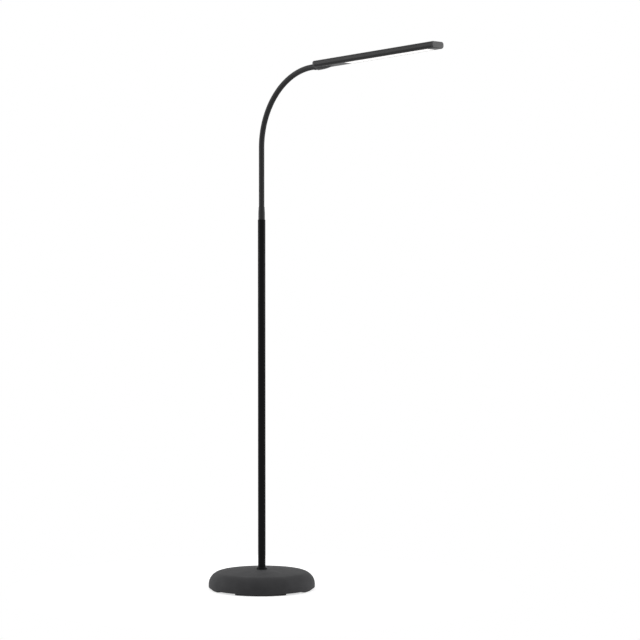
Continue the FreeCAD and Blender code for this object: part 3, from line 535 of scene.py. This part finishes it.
# %% Make a screw
def make_screw(head_radius, head_height, shank_radius, length, slot_width):
    """A pan-head screw that points up, its head's face at height 0, with a cross recess."""
    dome = head_height * 0.45
    rings = [(head_radius * 0.2, 0.0)]
    rings += round_corner(head_radius * 0.62, dome, dome, -90, -35, 3)
    rings += [(head_radius, head_height * 0.6), (head_radius, head_height)]
    rings += [(shank_radius, head_height)]
    pitch = shank_radius * 0.7
    core = shank_radius * 0.84
    for number in range(int((length - 1) / pitch)):
        level = head_height + 0.5 + number * pitch
        rings += [(core, level), (shank_radius, level + pitch / 2)]
    rings += [(core, head_height + length - 0.4), (0.2, head_height + length)]
    screw = turn_rings(rings, sides=32)
    for angle in (0, 90):
        start_clean()
        bpy.ops.mesh.primitive_cube_add(size=1, rotation=(0, 0, math.radians(angle)))
        recess = bpy.context.object
        recess.scale = (head_radius * 1.15 * MM, slot_width * MM, head_height * MM)
        combine(screw, recess, "DIFFERENCE")
    return screw


# %% Set the foot's screws
screw_low, screw_high = span("base_screws")
SCREW_CIRCLE = 81.0
SCREW_HEAD = 1.8
pan_screw = make_screw(3.8, SCREW_HEAD, 2.0, screw_high.z - screw_low.z - SCREW_HEAD, 0.9)
for number in range(4):
    turned = Matrix.Rotation(math.radians(45 + 90 * number), 4, "Z")
    moved = Matrix.Translation(Vector((SCREW_CIRCLE, 0, screw_low.z)) * MM)
    twist = Matrix.Rotation(math.radians(20 + 33 * number), 4, "Z")
    screw = copy_piece(pan_screw, turned @ moved @ twist)
    replaced = ["base_screws"] if number == 0 else []
    finish_piece(screw, "foot_screw_%d" % (number + 1), "base", replaced, "plain_steel")
bpy.data.objects.remove(pan_screw)

# %% [markdown]
# The foot stands on four arcs of foam rubber. A flat section is spun through the arc's angle, its
# upright corners are rounded with a wide bevel and its other edges with a narrow one, and the arc
# is copied round the foot.

# %% Spin the pads
PAD_OUTER = 119.0
PAD_WIDTH = 14.0
PAD_HEIGHT = 4.0
PAD_ARC = 62.0

start_clean()
bpy.ops.mesh.primitive_plane_add(size=1)
pad = bpy.context.object
pad.scale = (PAD_WIDTH * MM, PAD_HEIGHT * MM, 1)
pad.rotation_euler = (math.radians(90), 0, 0)
pad.location = ((PAD_OUTER - PAD_WIDTH / 2) * MM, 0, PAD_HEIGHT / 2 * MM)
bpy.ops.object.transform_apply(location=True, rotation=True, scale=True)
bpy.ops.object.mode_set(mode="EDIT")
bpy.ops.mesh.select_all(action="SELECT")
bpy.ops.mesh.spin(steps=24, angle=math.radians(PAD_ARC), center=(0, 0, 0), axis=(0, 0, 1))
bpy.ops.mesh.select_all(action="SELECT")
bpy.ops.mesh.remove_doubles(threshold=0.01 * MM)
bpy.ops.mesh.normals_make_consistent(inside=False)
pick("edges", lambda edge: abs(direction(edge).z) > 0.9 and edge.calc_face_angle(0) > 1.0)
bpy.ops.mesh.bevel(offset=5.0 * MM, segments=6, affect="EDGES")
bpy.ops.object.mode_set(mode="OBJECT")
soften(pad, 0.5)

# %% Copy the pads round the foot
angles = [math.degrees(math.atan2(vertex.co.y, vertex.co.x)) for vertex in pad.data.vertices]
centre = (min(angles) + max(angles)) / 2
for number in range(4):
    foot_pad = copy_piece(pad, Matrix.Rotation(math.radians(45 + 90 * number - centre), 4, "Z"))
    replaced = ["foot_pads"] if number == 0 else []
    finish_piece(foot_pad, "foot_pad_%d" % (number + 1), "base", replaced, "pad_rubber")
bpy.data.objects.remove(pad)
print("one pad spans", round(max(angles) - min(angles), 1), "degrees")

# %% [markdown]
# ## The cord bush
# At the back, away from the head, a flanged bush lines the hole for a mains cord. It is turned
# about the pole's axis first and then laid over to point out of the back.

# %% Turn the bush
BUSH_BORE = 3.1
BUSH_NECK = 4.9
FLANGE = 1.6
GRIP = 3.6
BUSH_EDGE = 0.8
bush_length = bush_high.x - bush_low.x
flange_radius = (bush_high.z - bush_low.z) / 2
clip_radius = flange_radius - 0.5
bush_rings = [(BUSH_BORE + 0.5, 0.0), (BUSH_BORE, 0.5), (BUSH_BORE, bush_length)]
bush_rings += [(clip_radius, bush_length), (clip_radius, FLANGE + GRIP)]
bush_rings += [(BUSH_NECK, FLANGE + GRIP), (BUSH_NECK, FLANGE), (flange_radius, FLANGE)]
bush_rings += round_corner(flange_radius - BUSH_EDGE, BUSH_EDGE, BUSH_EDGE, 0, -90, 4)
bush = turn_rings(bush_rings, sides=64)
bush.rotation_euler = (0, math.radians(90), 0)
bush.location = (bush_low.x * MM, 0, bush_level * MM)
finish_piece(bush, "cord_bush_moulding", "base", ["cord_bush"], "bush_plastic")

# %% [markdown]
# ## The pole
# Two lengths of drawn tube meet in a hairline. Each end is deburred, so that the joint shows as a
# fine dark ring.

# %% Turn the pole
POLE_RADIUS = 9.0
POLE_BORE = 8.0
DEBURR = 0.25
for name in ("pole_lower", "pole_upper"):
    low, high = span(name)
    tube_rings = round_corner(POLE_RADIUS - DEBURR, low.z + DEBURR, DEBURR, -90, 0, 3)
    tube_rings += round_corner(POLE_RADIUS - DEBURR, high.z - DEBURR, DEBURR, 0, 90, 3)
    tube_rings += [(POLE_BORE, high.z), (POLE_BORE, low.z)]
    finish_piece(turn_rings(tube_rings), name + "_tube", "base", [name], "pole_paint")

# %% [markdown]
# The collar hides the place where the lower length stands on the foot. It is turned to the shape
# of a bell, in the same enamel. Its flank is a quarter of an ellipse: the arc of a circle, with
# its width and its height stretched by different amounts.

# %% Turn the collar
collar_low, collar_high = span("pole_collar")
collar_radius = collar_high.x
bore = POLE_RADIUS + 0.1
inner_edge = bore + 0.2
waist = collar_low.z + 1.0
collar_rings = [(bore, collar_low.z), (collar_radius - edge, collar_low.z)]
collar_rings += [(collar_radius, collar_low.z + edge)]
for across, up in round_corner(0, 0, 1, 0, 90, 12):
    flank = inner_edge + (collar_radius - inner_edge) * across
    collar_rings.append((flank, waist + (collar_high.z - waist) * up))
collar_rings += [(bore, collar_high.z - 0.2)]
finish_piece(turn_rings(collar_rings), "pole_collar_ring", "base", ["pole_collar"], "pole_paint")

# %% [markdown]
# ## The neck's lower end
# A tapered metal ferrule takes the neck. Its stud, inside the pole, is part of the same turning.

# %% Turn the lower ferrule
ferrule_low, ferrule_high = span("neck_ferrule_lower")
pole_top = span("pole_upper")[1].z
neck_root = ferrule_high.z
FERRULE_RADIUS = 7.75
FERRULE_TIP = 7.1
FERRULE_TAPER = 15.0
MOUTH = 6.8
CORE_MOUTH = 5.3
STUD_RADIUS = 5.0
LEAD_BORE = 3.0
SLEEVE_TUCK = 12.0
CORE_TUCK = 26.0
ferrule_rings = [(STUD_RADIUS, ferrule_low.z), (STUD_RADIUS, pole_top)]
ferrule_rings += [(FERRULE_RADIUS - 0.2, pole_top), (FERRULE_RADIUS, pole_top + 0.2)]
ferrule_rings += [(FERRULE_RADIUS, neck_root - FERRULE_TAPER)]
ferrule_rings += round_corner(FERRULE_TIP - 0.25, neck_root - 0.25, 0.25, 5, 90, 3)
ferrule_rings += [(MOUTH, neck_root), (MOUTH, neck_root - SLEEVE_TUCK)]
ferrule_rings += [(CORE_MOUTH, neck_root - SLEEVE_TUCK), (CORE_MOUTH, neck_root - CORE_TUCK)]
ferrule_rings += [(LEAD_BORE, neck_root - CORE_TUCK), (LEAD_BORE, ferrule_low.z)]
ferrule = turn_rings(ferrule_rings)
finish_piece(ferrule, "lower_ferrule", "base", ["neck_ferrule_lower"], "fitting_paint")

# %% [markdown]
# ## The neck
# The real neck is wound steel wire under a smooth rubber skin, and it bends a little everywhere.
# The imported model bends at twelve places. The skin could be one tube, but a blend works across
# one joint only, so the tube is modelled whole, from the ferrule up and round the bend, and then
# cut half way between the joints.

# %% The neck's middle line
BEND_RADIUS = 178.0
BEND_ANGLE = math.radians(87.4)
STRAIGHT = 139.6
FIRST_JOINT = 20.0
LAST_JOINT_MARGIN = 10.5
hinges = frame["joints"]
bend_start = neck_root + STRAIGHT
neck_length = STRAIGHT + BEND_ANGLE * BEND_RADIUS
joint_spacing = (neck_length - FIRST_JOINT - LAST_JOINT_MARGIN) / (len(hinges) - 1)


def point_along(distance):
    """The point of the neck's middle line and its direction, distance millimetres up it."""
    if distance <= STRAIGHT:
        return Vector((0, 0, neck_root + distance)) * MM, Vector((0, 0, 1))
    turn = min((distance - STRAIGHT) / BEND_RADIUS, BEND_ANGLE)
    across = BEND_RADIUS * (1 - math.cos(turn))
    point = Vector((across, 0, bend_start + BEND_RADIUS * math.sin(turn)))
    tangent = Vector((math.sin(turn), 0, math.cos(turn)))
    past = max(distance - neck_length, 0)
    return (point + tangent * past) * MM, tangent


print("neck:", round(neck_length, 1), "mm, joints every", round(joint_spacing, 2), "mm")

# %% [markdown]
# A circle is extruded up the straight part in short steps, spun round the bend and extruded into
# the head. A curve with a round bevel would be quicker, but its rings can't be placed so exactly.

# %% Model a tube along the neck
def neck_tube(radius, sides, start, end, step):
    """An open tube along the neck from start to end, with rings every step millimetres."""
    start_clean()
    bpy.ops.mesh.primitive_circle_add(
        vertices=sides, radius=radius * MM, location=(0, 0, (neck_root + start) * MM)
    )
    bpy.ops.object.transform_apply(location=True)
    bpy.ops.object.mode_set(mode="EDIT")
    bpy.ops.mesh.select_all(action="SELECT")
    steps = round((STRAIGHT - start) / step)
    for number in range(steps):
        rise = (STRAIGHT - start) / steps * MM
        bpy.ops.mesh.extrude_region_move(TRANSFORM_OT_translate={"value": (0, 0, rise)})
    bpy.ops.mesh.spin(
        steps=round(BEND_ANGLE * BEND_RADIUS / step),
        angle=BEND_ANGLE,
        center=(BEND_RADIUS * MM, 0, bend_start * MM),
        axis=(0, -1, 0),
    )
    along = point_along(neck_length)[1]
    steps = round((end - neck_length) / step)
    for number in range(steps):
        stride = along * ((end - neck_length) / steps * MM)
        bpy.ops.mesh.extrude_region_move(TRANSFORM_OT_translate={"value": tuple(stride)})
    bpy.ops.mesh.select_all(action="SELECT")
    bpy.ops.mesh.remove_doubles(threshold=0.01 * MM)
    bpy.ops.mesh.normals_make_consistent(inside=False)
    bpy.ops.object.mode_set(mode="OBJECT")
    return bpy.context.object


# %% [markdown]
# The joints come in order from the pole to the head. Half way between two of them the core is
# stiff, so that is where one length of skin ends and the next begins.

# %% Cut a tube between the joints
def cut_length(whole, number, fill):
    """A copy of the neck's tube, cut to the length that bends at one joint."""
    length = copy_piece(whole)
    start_clean()
    length.select_set(True)
    bpy.context.view_layer.objects.active = length
    bpy.ops.object.mode_set(mode="EDIT")
    ends = [(number - 0.5, True)] if number > 0 else []
    ends += [(number + 0.5, False)] if number < len(hinges) - 1 else []
    for joints, keep_above in ends:
        point, tangent = point_along(FIRST_JOINT + joint_spacing * joints)
        bpy.ops.mesh.select_all(action="SELECT")
        bpy.ops.mesh.bisect(
            plane_co=point,
            plane_no=tangent,
            clear_inner=keep_above,
            clear_outer=not keep_above,
            use_fill=fill,
        )
    bpy.ops.object.mode_set(mode="OBJECT")
    return length


def bend_length(length):
    """Bakes the place of a length of the neck into its mesh."""
    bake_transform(length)


# %% Model the neck's skin
SKIN_RADIUS = 6.5
SKIN_WALL = 1.0
skin = neck_tube(SKIN_RADIUS, 64, -SLEEVE_TUCK, neck_length + 20.0, 2.0)
for number in range(len(hinges)):
    length = cut_length(skin, number, False)
    add_modifier(length, "SOLIDIFY", thickness=SKIN_WALL * MM, offset=-1.0, use_rim=True)
    replaced = ["neck_sleeve"] if number == 0 else []
    finish_piece(length, "neck_skin_%02d" % (number + 1), None, replaced, "neck_skin", 60.0)
    bend_length(length)
bpy.data.objects.remove(skin)
print("skin lengths:", len(hinges))

# %% [markdown]
# The lead inside the neck is a thin round cable. It runs inside the skin, so it is made
# and cut in the same way, and nothing of it shows unless the neck is opened.

# %% Run the lead through the neck
LEAD_RADIUS = 2.0
LEAD_INTO_HEAD = 32.0
lead = neck_tube(LEAD_RADIUS, 16, -CORE_TUCK, neck_length + LEAD_INTO_HEAD, 4.0)
for number in range(len(hinges)):
    length = cut_length(lead, number, True)
    bpy.ops.object.mode_set(mode="EDIT")
    pick("edges", lambda edge: edge.is_boundary)
    bpy.ops.mesh.edge_face_add()
    bpy.ops.object.mode_set(mode="OBJECT")
    replaced = ["lead_neck"] if number == 0 else []
    finish_piece(length, "neck_lead_%02d" % (number + 1), None, replaced, "lead_jacket", 60.0)
    bend_length(length)
bpy.data.objects.remove(lead)

# %% [markdown]
# ## The head's own frame
# The head points a little upwards. Its pieces are easier to model level, so they are made with
# the neck's axis along X and its end at the origin, and one matrix lays them in place at the end.

# %% The head's sizes and place
HEAD_START = 18.5
HEAD_END = 387.7
HEAD_HALF = 19.4
HEAD_TOP = 11.3
HEAD_BOTTOM = -4.0
TOP_ROUND = 5.5
BOTTOM_ROUND = 7.0
WALL = 1.6
CAP_LENGTH = 6.0
FLANGE_LENGTH = 3.0
SLOT_HALF = 12.9
LEDGE_HALF = SLOT_HALF + 2.0
LIP_TOP = HEAD_BOTTOM + 2.6
PLATE_LOW = LIP_TOP + 0.05
PLATE_HIGH = PLATE_LOW + 1.3
COVER_END = HEAD_START + 95.5
LIGHT_END = HEAD_END - 19.7
SLIP = 0.1

head_root = point_along(neck_length)[0]
head_place = Matrix.Translation(head_root) @ Matrix.Rotation(
    BEND_ANGLE - math.radians(90), 4, "Y"
)
print("head points up by", round(90 - math.degrees(BEND_ANGLE), 1), "degrees")

# %% [markdown]
# The head's section is a flat bar with round edges, fuller below than above. Three helpers make
# a box in the head's frame, round its long edges and lay a piece of the head in place.

# %% Helpers for the head
def add_block(start, end, half, bottom, top):
    """A box in the head's frame, in millimetres."""
    start_clean()
    bpy.ops.mesh.primitive_cube_add(size=1)
    made = bpy.context.object
    made.scale = ((end - start) * MM, 2 * half * MM, (top - bottom) * MM)
    made.location = ((start + end) / 2 * MM, 0, (bottom + top) / 2 * MM)
    bpy.ops.object.transform_apply(location=True, rotation=True, scale=True)
    return made


def add_bar(start, end, inset=0.0, lip=0.0, low_round=BOTTOM_ROUND):
    """A length of the head's section, moved inwards by inset and up from below by lip."""
    half = HEAD_HALF - inset
    made = add_block(start, end, half, HEAD_BOTTOM + lip, HEAD_TOP - inset)
    bpy.ops.object.mode_set(mode="EDIT")
    for above, radius in ((True, TOP_ROUND - inset), (False, low_round)):
        pick(
            "edges",
            lambda edge: abs(direction(edge).x) > 0.99
            and (height(edge) > 4 * MM) == above
            and abs(abs(edge.verts[0].co.y) - half * MM) < 0.01 * MM,
        )
        bpy.ops.mesh.bevel(offset=radius * MM, segments=12, affect="EDGES")
    bpy.ops.object.mode_set(mode="OBJECT")
    return made


def finish_head(piece, name, replaced, slot, smooth_angle=30.0):
    """Lays a piece of the head in place and finishes it."""
    piece.matrix_world = head_place @ piece.matrix_world
    return finish_piece(piece, name, "head", replaced, slot, smooth_angle)


def add_rod(radius, middle, length, sides=96):
    """A cylinder along the neck's axis, in the head's frame."""
    start_clean()
    bpy.ops.mesh.primitive_cylinder_add(
        vertices=sides,
        radius=radius * MM,
        depth=length * MM,
        location=(middle * MM, 0, 0),
        rotation=(0, math.radians(90), 0),
    )
    return bpy.context.object


def add_pin(radius, along, side, bottom, top, sides=48):
    """A cylinder square to the head's top, in the head's frame."""
    start_clean()
    bpy.ops.mesh.primitive_cylinder_add(
        vertices=sides,
        radius=radius * MM,
        depth=(top - bottom) * MM,
        location=(along * MM, side * MM, (bottom + top) / 2 * MM),
    )
    return bpy.context.object


# %% [markdown]
# ## The head's channel
# The housing is a long extrusion, open below. A full bar gets a smaller bar cut out of it and then
# a slot between the lips. Solidify would give one wall all round, and the real lips are thicker,
# because they carry the cover and the light. A small bevel softens every edge.

# %% Model the channel
KEY_PLACE = 82.0
KEY_RADIUS = 7.0
channel_start = HEAD_START + CAP_LENGTH
channel_end = HEAD_END - FLANGE_LENGTH
channel = add_bar(channel_start, channel_end)
inner_round = HEAD_HALF - WALL - LEDGE_HALF
hollow = add_bar(channel_start - 1, channel_end + 1, WALL, LIP_TOP - HEAD_BOTTOM, inner_round)
combine(channel, hollow, "DIFFERENCE")
slot_cut = add_block(channel_start - 1, channel_end + 1, SLOT_HALF, HEAD_BOTTOM - 1, LIP_TOP + 1)
combine(channel, slot_cut, "DIFFERENCE")
key_hole = add_pin(KEY_RADIUS + SLIP, KEY_PLACE, 0, HEAD_TOP - 3, HEAD_TOP + 3, 64)
combine(channel, key_hole, "DIFFERENCE")
soften(channel, 0.15)
finish_head(channel, "head_channel", ["head_housing"], "head_shell")
print("channel faces:", len(channel.data.polygons))

# %% [markdown]
# The touch area on top is a dished disc in the same plane. It could be a cylinder, but a finger
# feels for a hollow, so its top is drawn down in rings.

# %% Turn the touch key
key_rings = [(0.2, HEAD_TOP - 0.5), (3.0, HEAD_TOP - 0.42), (5.5, HEAD_TOP - 0.22)]
key_rings += round_corner(KEY_RADIUS - 0.3, HEAD_TOP - 0.4, 0.3, 90, 0, 3)
key_rings += [(KEY_RADIUS, HEAD_TOP - WALL), (0.2, HEAD_TOP - WALL)]
key = turn_rings(key_rings, sides=64)
key.location = (KEY_PLACE * MM, 0, 0)
bpy.ops.object.transform_apply(location=True)
finish_head(key, "touch_disc", ["touch_key"], "key_plastic")

# %% [markdown]
# ## The head's ends
# Both ends are moulded caps in the section of the channel, with a rounded outer edge. The rear one
# has an arch for the neck.

# %% Model the rear cap
ARCH = 7.8
rear_cap = add_bar(HEAD_START, channel_start)
bpy.ops.object.mode_set(mode="EDIT")
pick("faces", lambda face: face.normal.x < -0.9)
bpy.ops.mesh.region_to_loop()
bpy.ops.mesh.bevel(offset=2.5 * MM, segments=6, affect="EDGES", clamp_overlap=True)
bpy.ops.object.mode_set(mode="OBJECT")
combine(rear_cap, add_rod(ARCH, HEAD_START + CAP_LENGTH / 2, 20), "DIFFERENCE")
below = add_block(HEAD_START - 5, channel_start + 5, ARCH, HEAD_BOTTOM - 5, 0)
combine(rear_cap, below, "DIFFERENCE")
finish_head(rear_cap, "rear_cap_moulding", ["head_rear_cap"], "head_moulding", 35.0)

# %% [markdown]
# The front cap has a smaller round, a spigot that holds it in the channel, and a tongue that
# closes the slot as far as the light.

# %% Model the front cap
front_cap = add_bar(channel_end, HEAD_END)
bpy.ops.object.mode_set(mode="EDIT")
pick("faces", lambda face: face.normal.x > 0.9)
bpy.ops.mesh.region_to_loop()
bpy.ops.mesh.bevel(offset=2.0 * MM, segments=6, affect="EDGES", clamp_overlap=True)
bpy.ops.object.mode_set(mode="OBJECT")
tongue = add_block(
    LIGHT_END + 0.3, channel_end + 0.5, SLOT_HALF - SLIP, HEAD_BOTTOM, PLATE_HIGH
)
soften(tongue, 0.2)
combine(front_cap, tongue, "UNION")
ledge = add_block(LIGHT_END + 0.3, channel_end + 0.5, LEDGE_HALF, PLATE_LOW, PLATE_HIGH)
combine(front_cap, ledge, "UNION")
finish_head(front_cap, "front_cap_moulding", ["head_front_cap"], "head_moulding", 35.0)

# %% [markdown]
# ## The cover under the rear
# One moulding closes the slot behind the light and swells into a half-round fairing that carries
# the neck's metal end. The swelling is turned about the neck's axis, and its upper half is cut
# off.

# %% Turn the fairing
HUMP_RADIUS = 9.1
HUMP_SHOULDER = HEAD_START + 9.5
HUMP_END = HEAD_START + 53.5
HUMP_TIP = 3.0
HUMP_EDGE = 0.8
FERRULE_END = 36.0
fall = HUMP_RADIUS - HUMP_TIP
run = HUMP_END - HUMP_SHOULDER
fall_radius = (run**2 + fall**2) / (2 * fall)
fall_angle = math.asin(run / fall_radius)
hump_rings = [(ARCH, HEAD_START)]
hump_rings += round_corner(
    HUMP_RADIUS - HUMP_EDGE, HEAD_START + HUMP_EDGE, HUMP_EDGE, -90, 0, 4
)
hump_rings += round_corner(
    HUMP_RADIUS - fall_radius, HUMP_SHOULDER, fall_radius, 0, math.degrees(fall_angle), 24
)
hump_rings += [(0.5, HUMP_END), (0.5, FERRULE_END + 0.3), (ARCH, FERRULE_END + 0.3)]
hump = turn_rings(hump_rings, sides=128)
hump.rotation_euler = (0, math.radians(90), 0)
bpy.ops.object.transform_apply(location=True, rotation=True, scale=True)
above = add_block(0, 100, 30, LIP_TOP + 0.6, 40)
combine(hump, above, "DIFFERENCE")

# %% [markdown]
# The cover's plate is a shallow tray: a flat face in the slot, a rim that lies on the lips and a
# pocket inside. The fairing is joined on after the room for the neck is cut, and wells are sunk
# for four small screws.

# %% Model the cover and join the fairing
cover = add_block(
    channel_start + SLIP, COVER_END, SLOT_HALF - SLIP, HEAD_BOTTOM, PLATE_HIGH
)
soften(cover, 0.2)
rim = add_block(channel_start + SLIP, COVER_END, LEDGE_HALF, PLATE_LOW, PLATE_HIGH)
combine(cover, rim, "UNION")
combine(cover, add_rod(ARCH, FERRULE_END / 2, FERRULE_END + 0.6, 128), "DIFFERENCE")
combine(cover, hump, "UNION")
POCKET_START = 63.5
COVER_SKIN = 1.5
pocket = add_block(
    POCKET_START, COVER_END - COVER_SKIN, SLOT_HALF - 1.6, HEAD_BOTTOM + COVER_SKIN, PLATE_HIGH + 1
)
combine(cover, pocket, "DIFFERENCE")
SCREW_WELL = 1.2
WELL_RADIUS = 2.3
SCREW_HOLE_RADIUS = 1.35
COVER_SCREWS = [(along, side) for along in (42.0, 57.0) for side in (-10.1, 10.1)]
for along, side in COVER_SCREWS:
    well = add_pin(WELL_RADIUS, along, side, HEAD_BOTTOM - 1, HEAD_BOTTOM + SCREW_WELL)
    combine(cover, well, "DIFFERENCE")
    hole = add_pin(SCREW_HOLE_RADIUS, along, side, HEAD_BOTTOM, PLATE_HIGH + 1, 32)
    combine(cover, hole, "DIFFERENCE")
finish_head(cover, "rear_cover_moulding", ["head_rear_cover"], "head_moulding", 35.0)
print("cover faces:", len(cover.data.polygons))

# %% Set the cover's screws
cover_screw = make_screw(2.2, SCREW_WELL - SLIP, 1.25, 8.8, 0.6)
for number, (along, side) in enumerate(COVER_SCREWS):
    twist = Matrix.Rotation(math.radians(15 + 40 * number), 4, "Z")
    place = Matrix.Translation(Vector((along, side, HEAD_BOTTOM + SLIP)) * MM)
    screw = copy_piece(cover_screw, place @ twist)
    replaced = ["cover_screws"] if number == 0 else []
    finish_head(screw, "cover_screw_%d" % (number + 1), replaced, "plain_steel")
bpy.data.objects.remove(cover_screw)

# %% [markdown]
# ## The upper ferrule
# The neck's other metal end sits in the fairing. Only its mouth shows, with the skin going in.

# %% Turn the upper ferrule
UPPER_RADIUS = 7.7
UPPER_START = 8.0
MOUTH_ROUND = 0.6
upper_rings = [(MOUTH, 20.0), (MOUTH, UPPER_START + 0.2), (MOUTH + 0.2, UPPER_START)]
upper_rings += round_corner(
    UPPER_RADIUS - MOUTH_ROUND, UPPER_START + MOUTH_ROUND, MOUTH_ROUND, -90, 0, 4
)
upper_rings += [(UPPER_RADIUS, FERRULE_END), (LEAD_BORE, FERRULE_END), (LEAD_BORE, LEAD_INTO_HEAD)]
upper_rings += [(CORE_MOUTH, LEAD_INTO_HEAD), (CORE_MOUTH, 20.0)]
upper = turn_rings(upper_rings)
upper.rotation_euler = (0, math.radians(90), 0)
bpy.ops.object.transform_apply(location=True, rotation=True, scale=True)
finish_head(upper, "upper_ferrule", ["neck_ferrule_upper"], "fitting_paint")

# %% [markdown]
# ## The light strip
# The diffuser is an opal tray. Its rim lies on the channel's lips and its face fills the slot,
# almost flush. It starts as the flat rim: the middle is marked off with two bisects, its underside
# is extruded down into the slot, and its top is inset and sunk for the light to spread in.

# %% Model the diffuser
strip_face = HEAD_BOTTOM + 0.2
strip_wall = 1.5
strip = add_block(COVER_END + 0.3, LIGHT_END, LEDGE_HALF, PLATE_LOW, PLATE_LOW + strip_wall)
bpy.ops.object.mode_set(mode="EDIT")
for side in (-1, 1):
    bpy.ops.mesh.select_all(action="SELECT")
    bpy.ops.mesh.bisect(plane_co=(0, side * (SLOT_HALF - SLIP) * MM, 0), plane_no=(0, 1, 0))
pick("faces", lambda face: face.normal.z < -0.9 and abs(face.calc_center_median().y) < MM)
drop = (strip_face - PLATE_LOW) * MM
bpy.ops.mesh.extrude_region_move(TRANSFORM_OT_translate={"value": (0, 0, drop)})
pick("faces", lambda face: face.normal.z > 0.9 and abs(face.calc_center_median().y) < MM)
bpy.ops.mesh.inset(thickness=strip_wall * MM, depth=0)
bpy.ops.mesh.extrude_region_move(TRANSFORM_OT_translate={"value": (0, 0, drop)})
pick(
    "edges",
    lambda edge: abs(direction(edge).x) > 0.99 and height(edge) < strip_face * MM + 0.01 * MM,
)
bpy.ops.mesh.bevel(offset=0.6 * MM, segments=4, affect="EDGES")
bpy.ops.object.mode_set(mode="OBJECT")
finish_head(strip, "light_strip", ["diffuser"], "diffuser_plastic")

# %% [markdown]
# ## What shows the background
# The photograph's ground is pure white, and a room that white would light the lamp far too much. So
# the floor and the surroundings are white only for the rays that show them: those of the camera,
# those that are reflected and those that pass through something clear.

# %% Tell the rays apart
def shows_background(tree):
    """A socket that is 1 for camera, reflected and transmitted rays, and 0 for all others."""
    rays = node(tree, "ShaderNodeLightPath").outputs
    direct = node(
        tree,
        "ShaderNodeMath",
        None,
        {0: rays["Is Camera Ray"], 1: rays["Is Glossy Ray"]},
        operation="MAXIMUM",
    )
    shown = node(
        tree,
        "ShaderNodeMath",
        None,
        {0: direct.outputs[0], 1: rays["Is Transmission Ray"]},
        operation="MAXIMUM",
    )
    return shown.outputs[0]


# %% [markdown]
# ## The floor
# A round white board lies under the lamp, and what shows of it is lifted to white by a little
# light of its own, so that only the lamp's soft shadow stays. Beyond the board the ground is the
# white of the surroundings. From below the board is clear, so that it doesn't hide the underside
# of the foot.

# %% Lay the floor
FLOOR_RADIUS = 0.6
start_clean()
bpy.ops.mesh.primitive_circle_add(vertices=128, radius=FLOOR_RADIUS, fill_type="NGON")
floor = bpy.context.object
floor.name = "studio_floor"
board_white = surface("matt_white_board", "#e8e8e8", 0.9, 0.8, 0.01)
board_tree = board_white[1]
board_shader = board_tree.nodes["Principled BSDF"]
board_lift = node(board_tree, "ShaderNodeEmission", {"Color": (1, 1, 1, 1), "Strength": 0.62})
board_lifted = node(
    board_tree,
    "ShaderNodeAddShader",
    None,
    {0: board_shader.outputs[0], 1: board_lift.outputs[0]},
)
board_choice = node(
    board_tree,
    "ShaderNodeMixShader",
    None,
    {0: shows_background(board_tree), 1: board_shader.outputs[0], 2: board_lifted.outputs[0]},
)
board_side = node(board_tree, "ShaderNodeNewGeometry").outputs["Backfacing"]
board_clear = node(board_tree, "ShaderNodeBsdfTransparent")
board_seen = node(
    board_tree,
    "ShaderNodeMixShader",
    None,
    {0: board_side, 1: board_choice.outputs[0], 2: board_clear.outputs[0]},
)
board_output = board_tree.nodes["Material Output"]
board_tree.links.new(board_seen.outputs[0], board_output.inputs["Surface"])
floor.data.materials.append(board_white[0])

# %% [markdown]
# ## The surroundings
# Camera, reflections and clear materials see plain white all round. Everything else gets an even
# fill of two fifths of that strength, which is the soft light of the studio.

# %% Set the surroundings
world = bpy.data.worlds.new("studio")
bpy.context.scene.world = world
world.use_nodes = True
sky = world.node_tree
sky.nodes.clear()
fill = node(sky, "ShaderNodeBackground", {"Color": (1, 1, 1, 1), "Strength": 0.4})
white = node(sky, "ShaderNodeBackground", {"Color": (1, 1, 1, 1), "Strength": 1.0})
around = node(
    sky,
    "ShaderNodeMixShader",
    None,
    {0: shows_background(sky), 1: fill.outputs[0], 2: white.outputs[0]},
)
node(sky, "ShaderNodeOutputWorld", None, {"Surface": around.outputs[0]})

# %% [markdown]
# ## The lamps
# Two large soft boxes stand at the sides, a little behind the object, and a weak one hangs above.
# Large and weak boxes give the broad even sheen of the photograph, where small strong ones would
# put narrow streaks on the pole.

# %% Set the soft boxes
LAMP_TARGET = Vector((0.15, 0, 0.6))


def soft_box(name, azimuth, elevation, distance, width, height, power):
    """A rectangular lamp that looks at the middle of the object."""
    data = bpy.data.lights.new(name, "AREA")
    data.shape = "RECTANGLE"
    data.size = width
    data.size_y = height
    data.energy = power
    lamp = bpy.data.objects.new(name, data)
    turn, lift = math.radians(azimuth), math.radians(elevation)
    level = math.cos(lift)
    out = Vector((math.sin(turn) * level, -math.cos(turn) * level, math.sin(lift)))
    lamp.location = LAMP_TARGET + out * distance
    lamp.rotation_euler = out.to_track_quat("Z", "Y").to_euler()
    bpy.context.scene.collection.objects.link(lamp)


soft_box("left_soft_box", -47, 18, 3.0, 2.4, 2.2, 41)
soft_box("right_soft_box", 137, 18, 3.0, 2.4, 2.2, 41)
soft_box("top_soft_box", 45, 80, 3.0, 2.5, 2.5, 2)
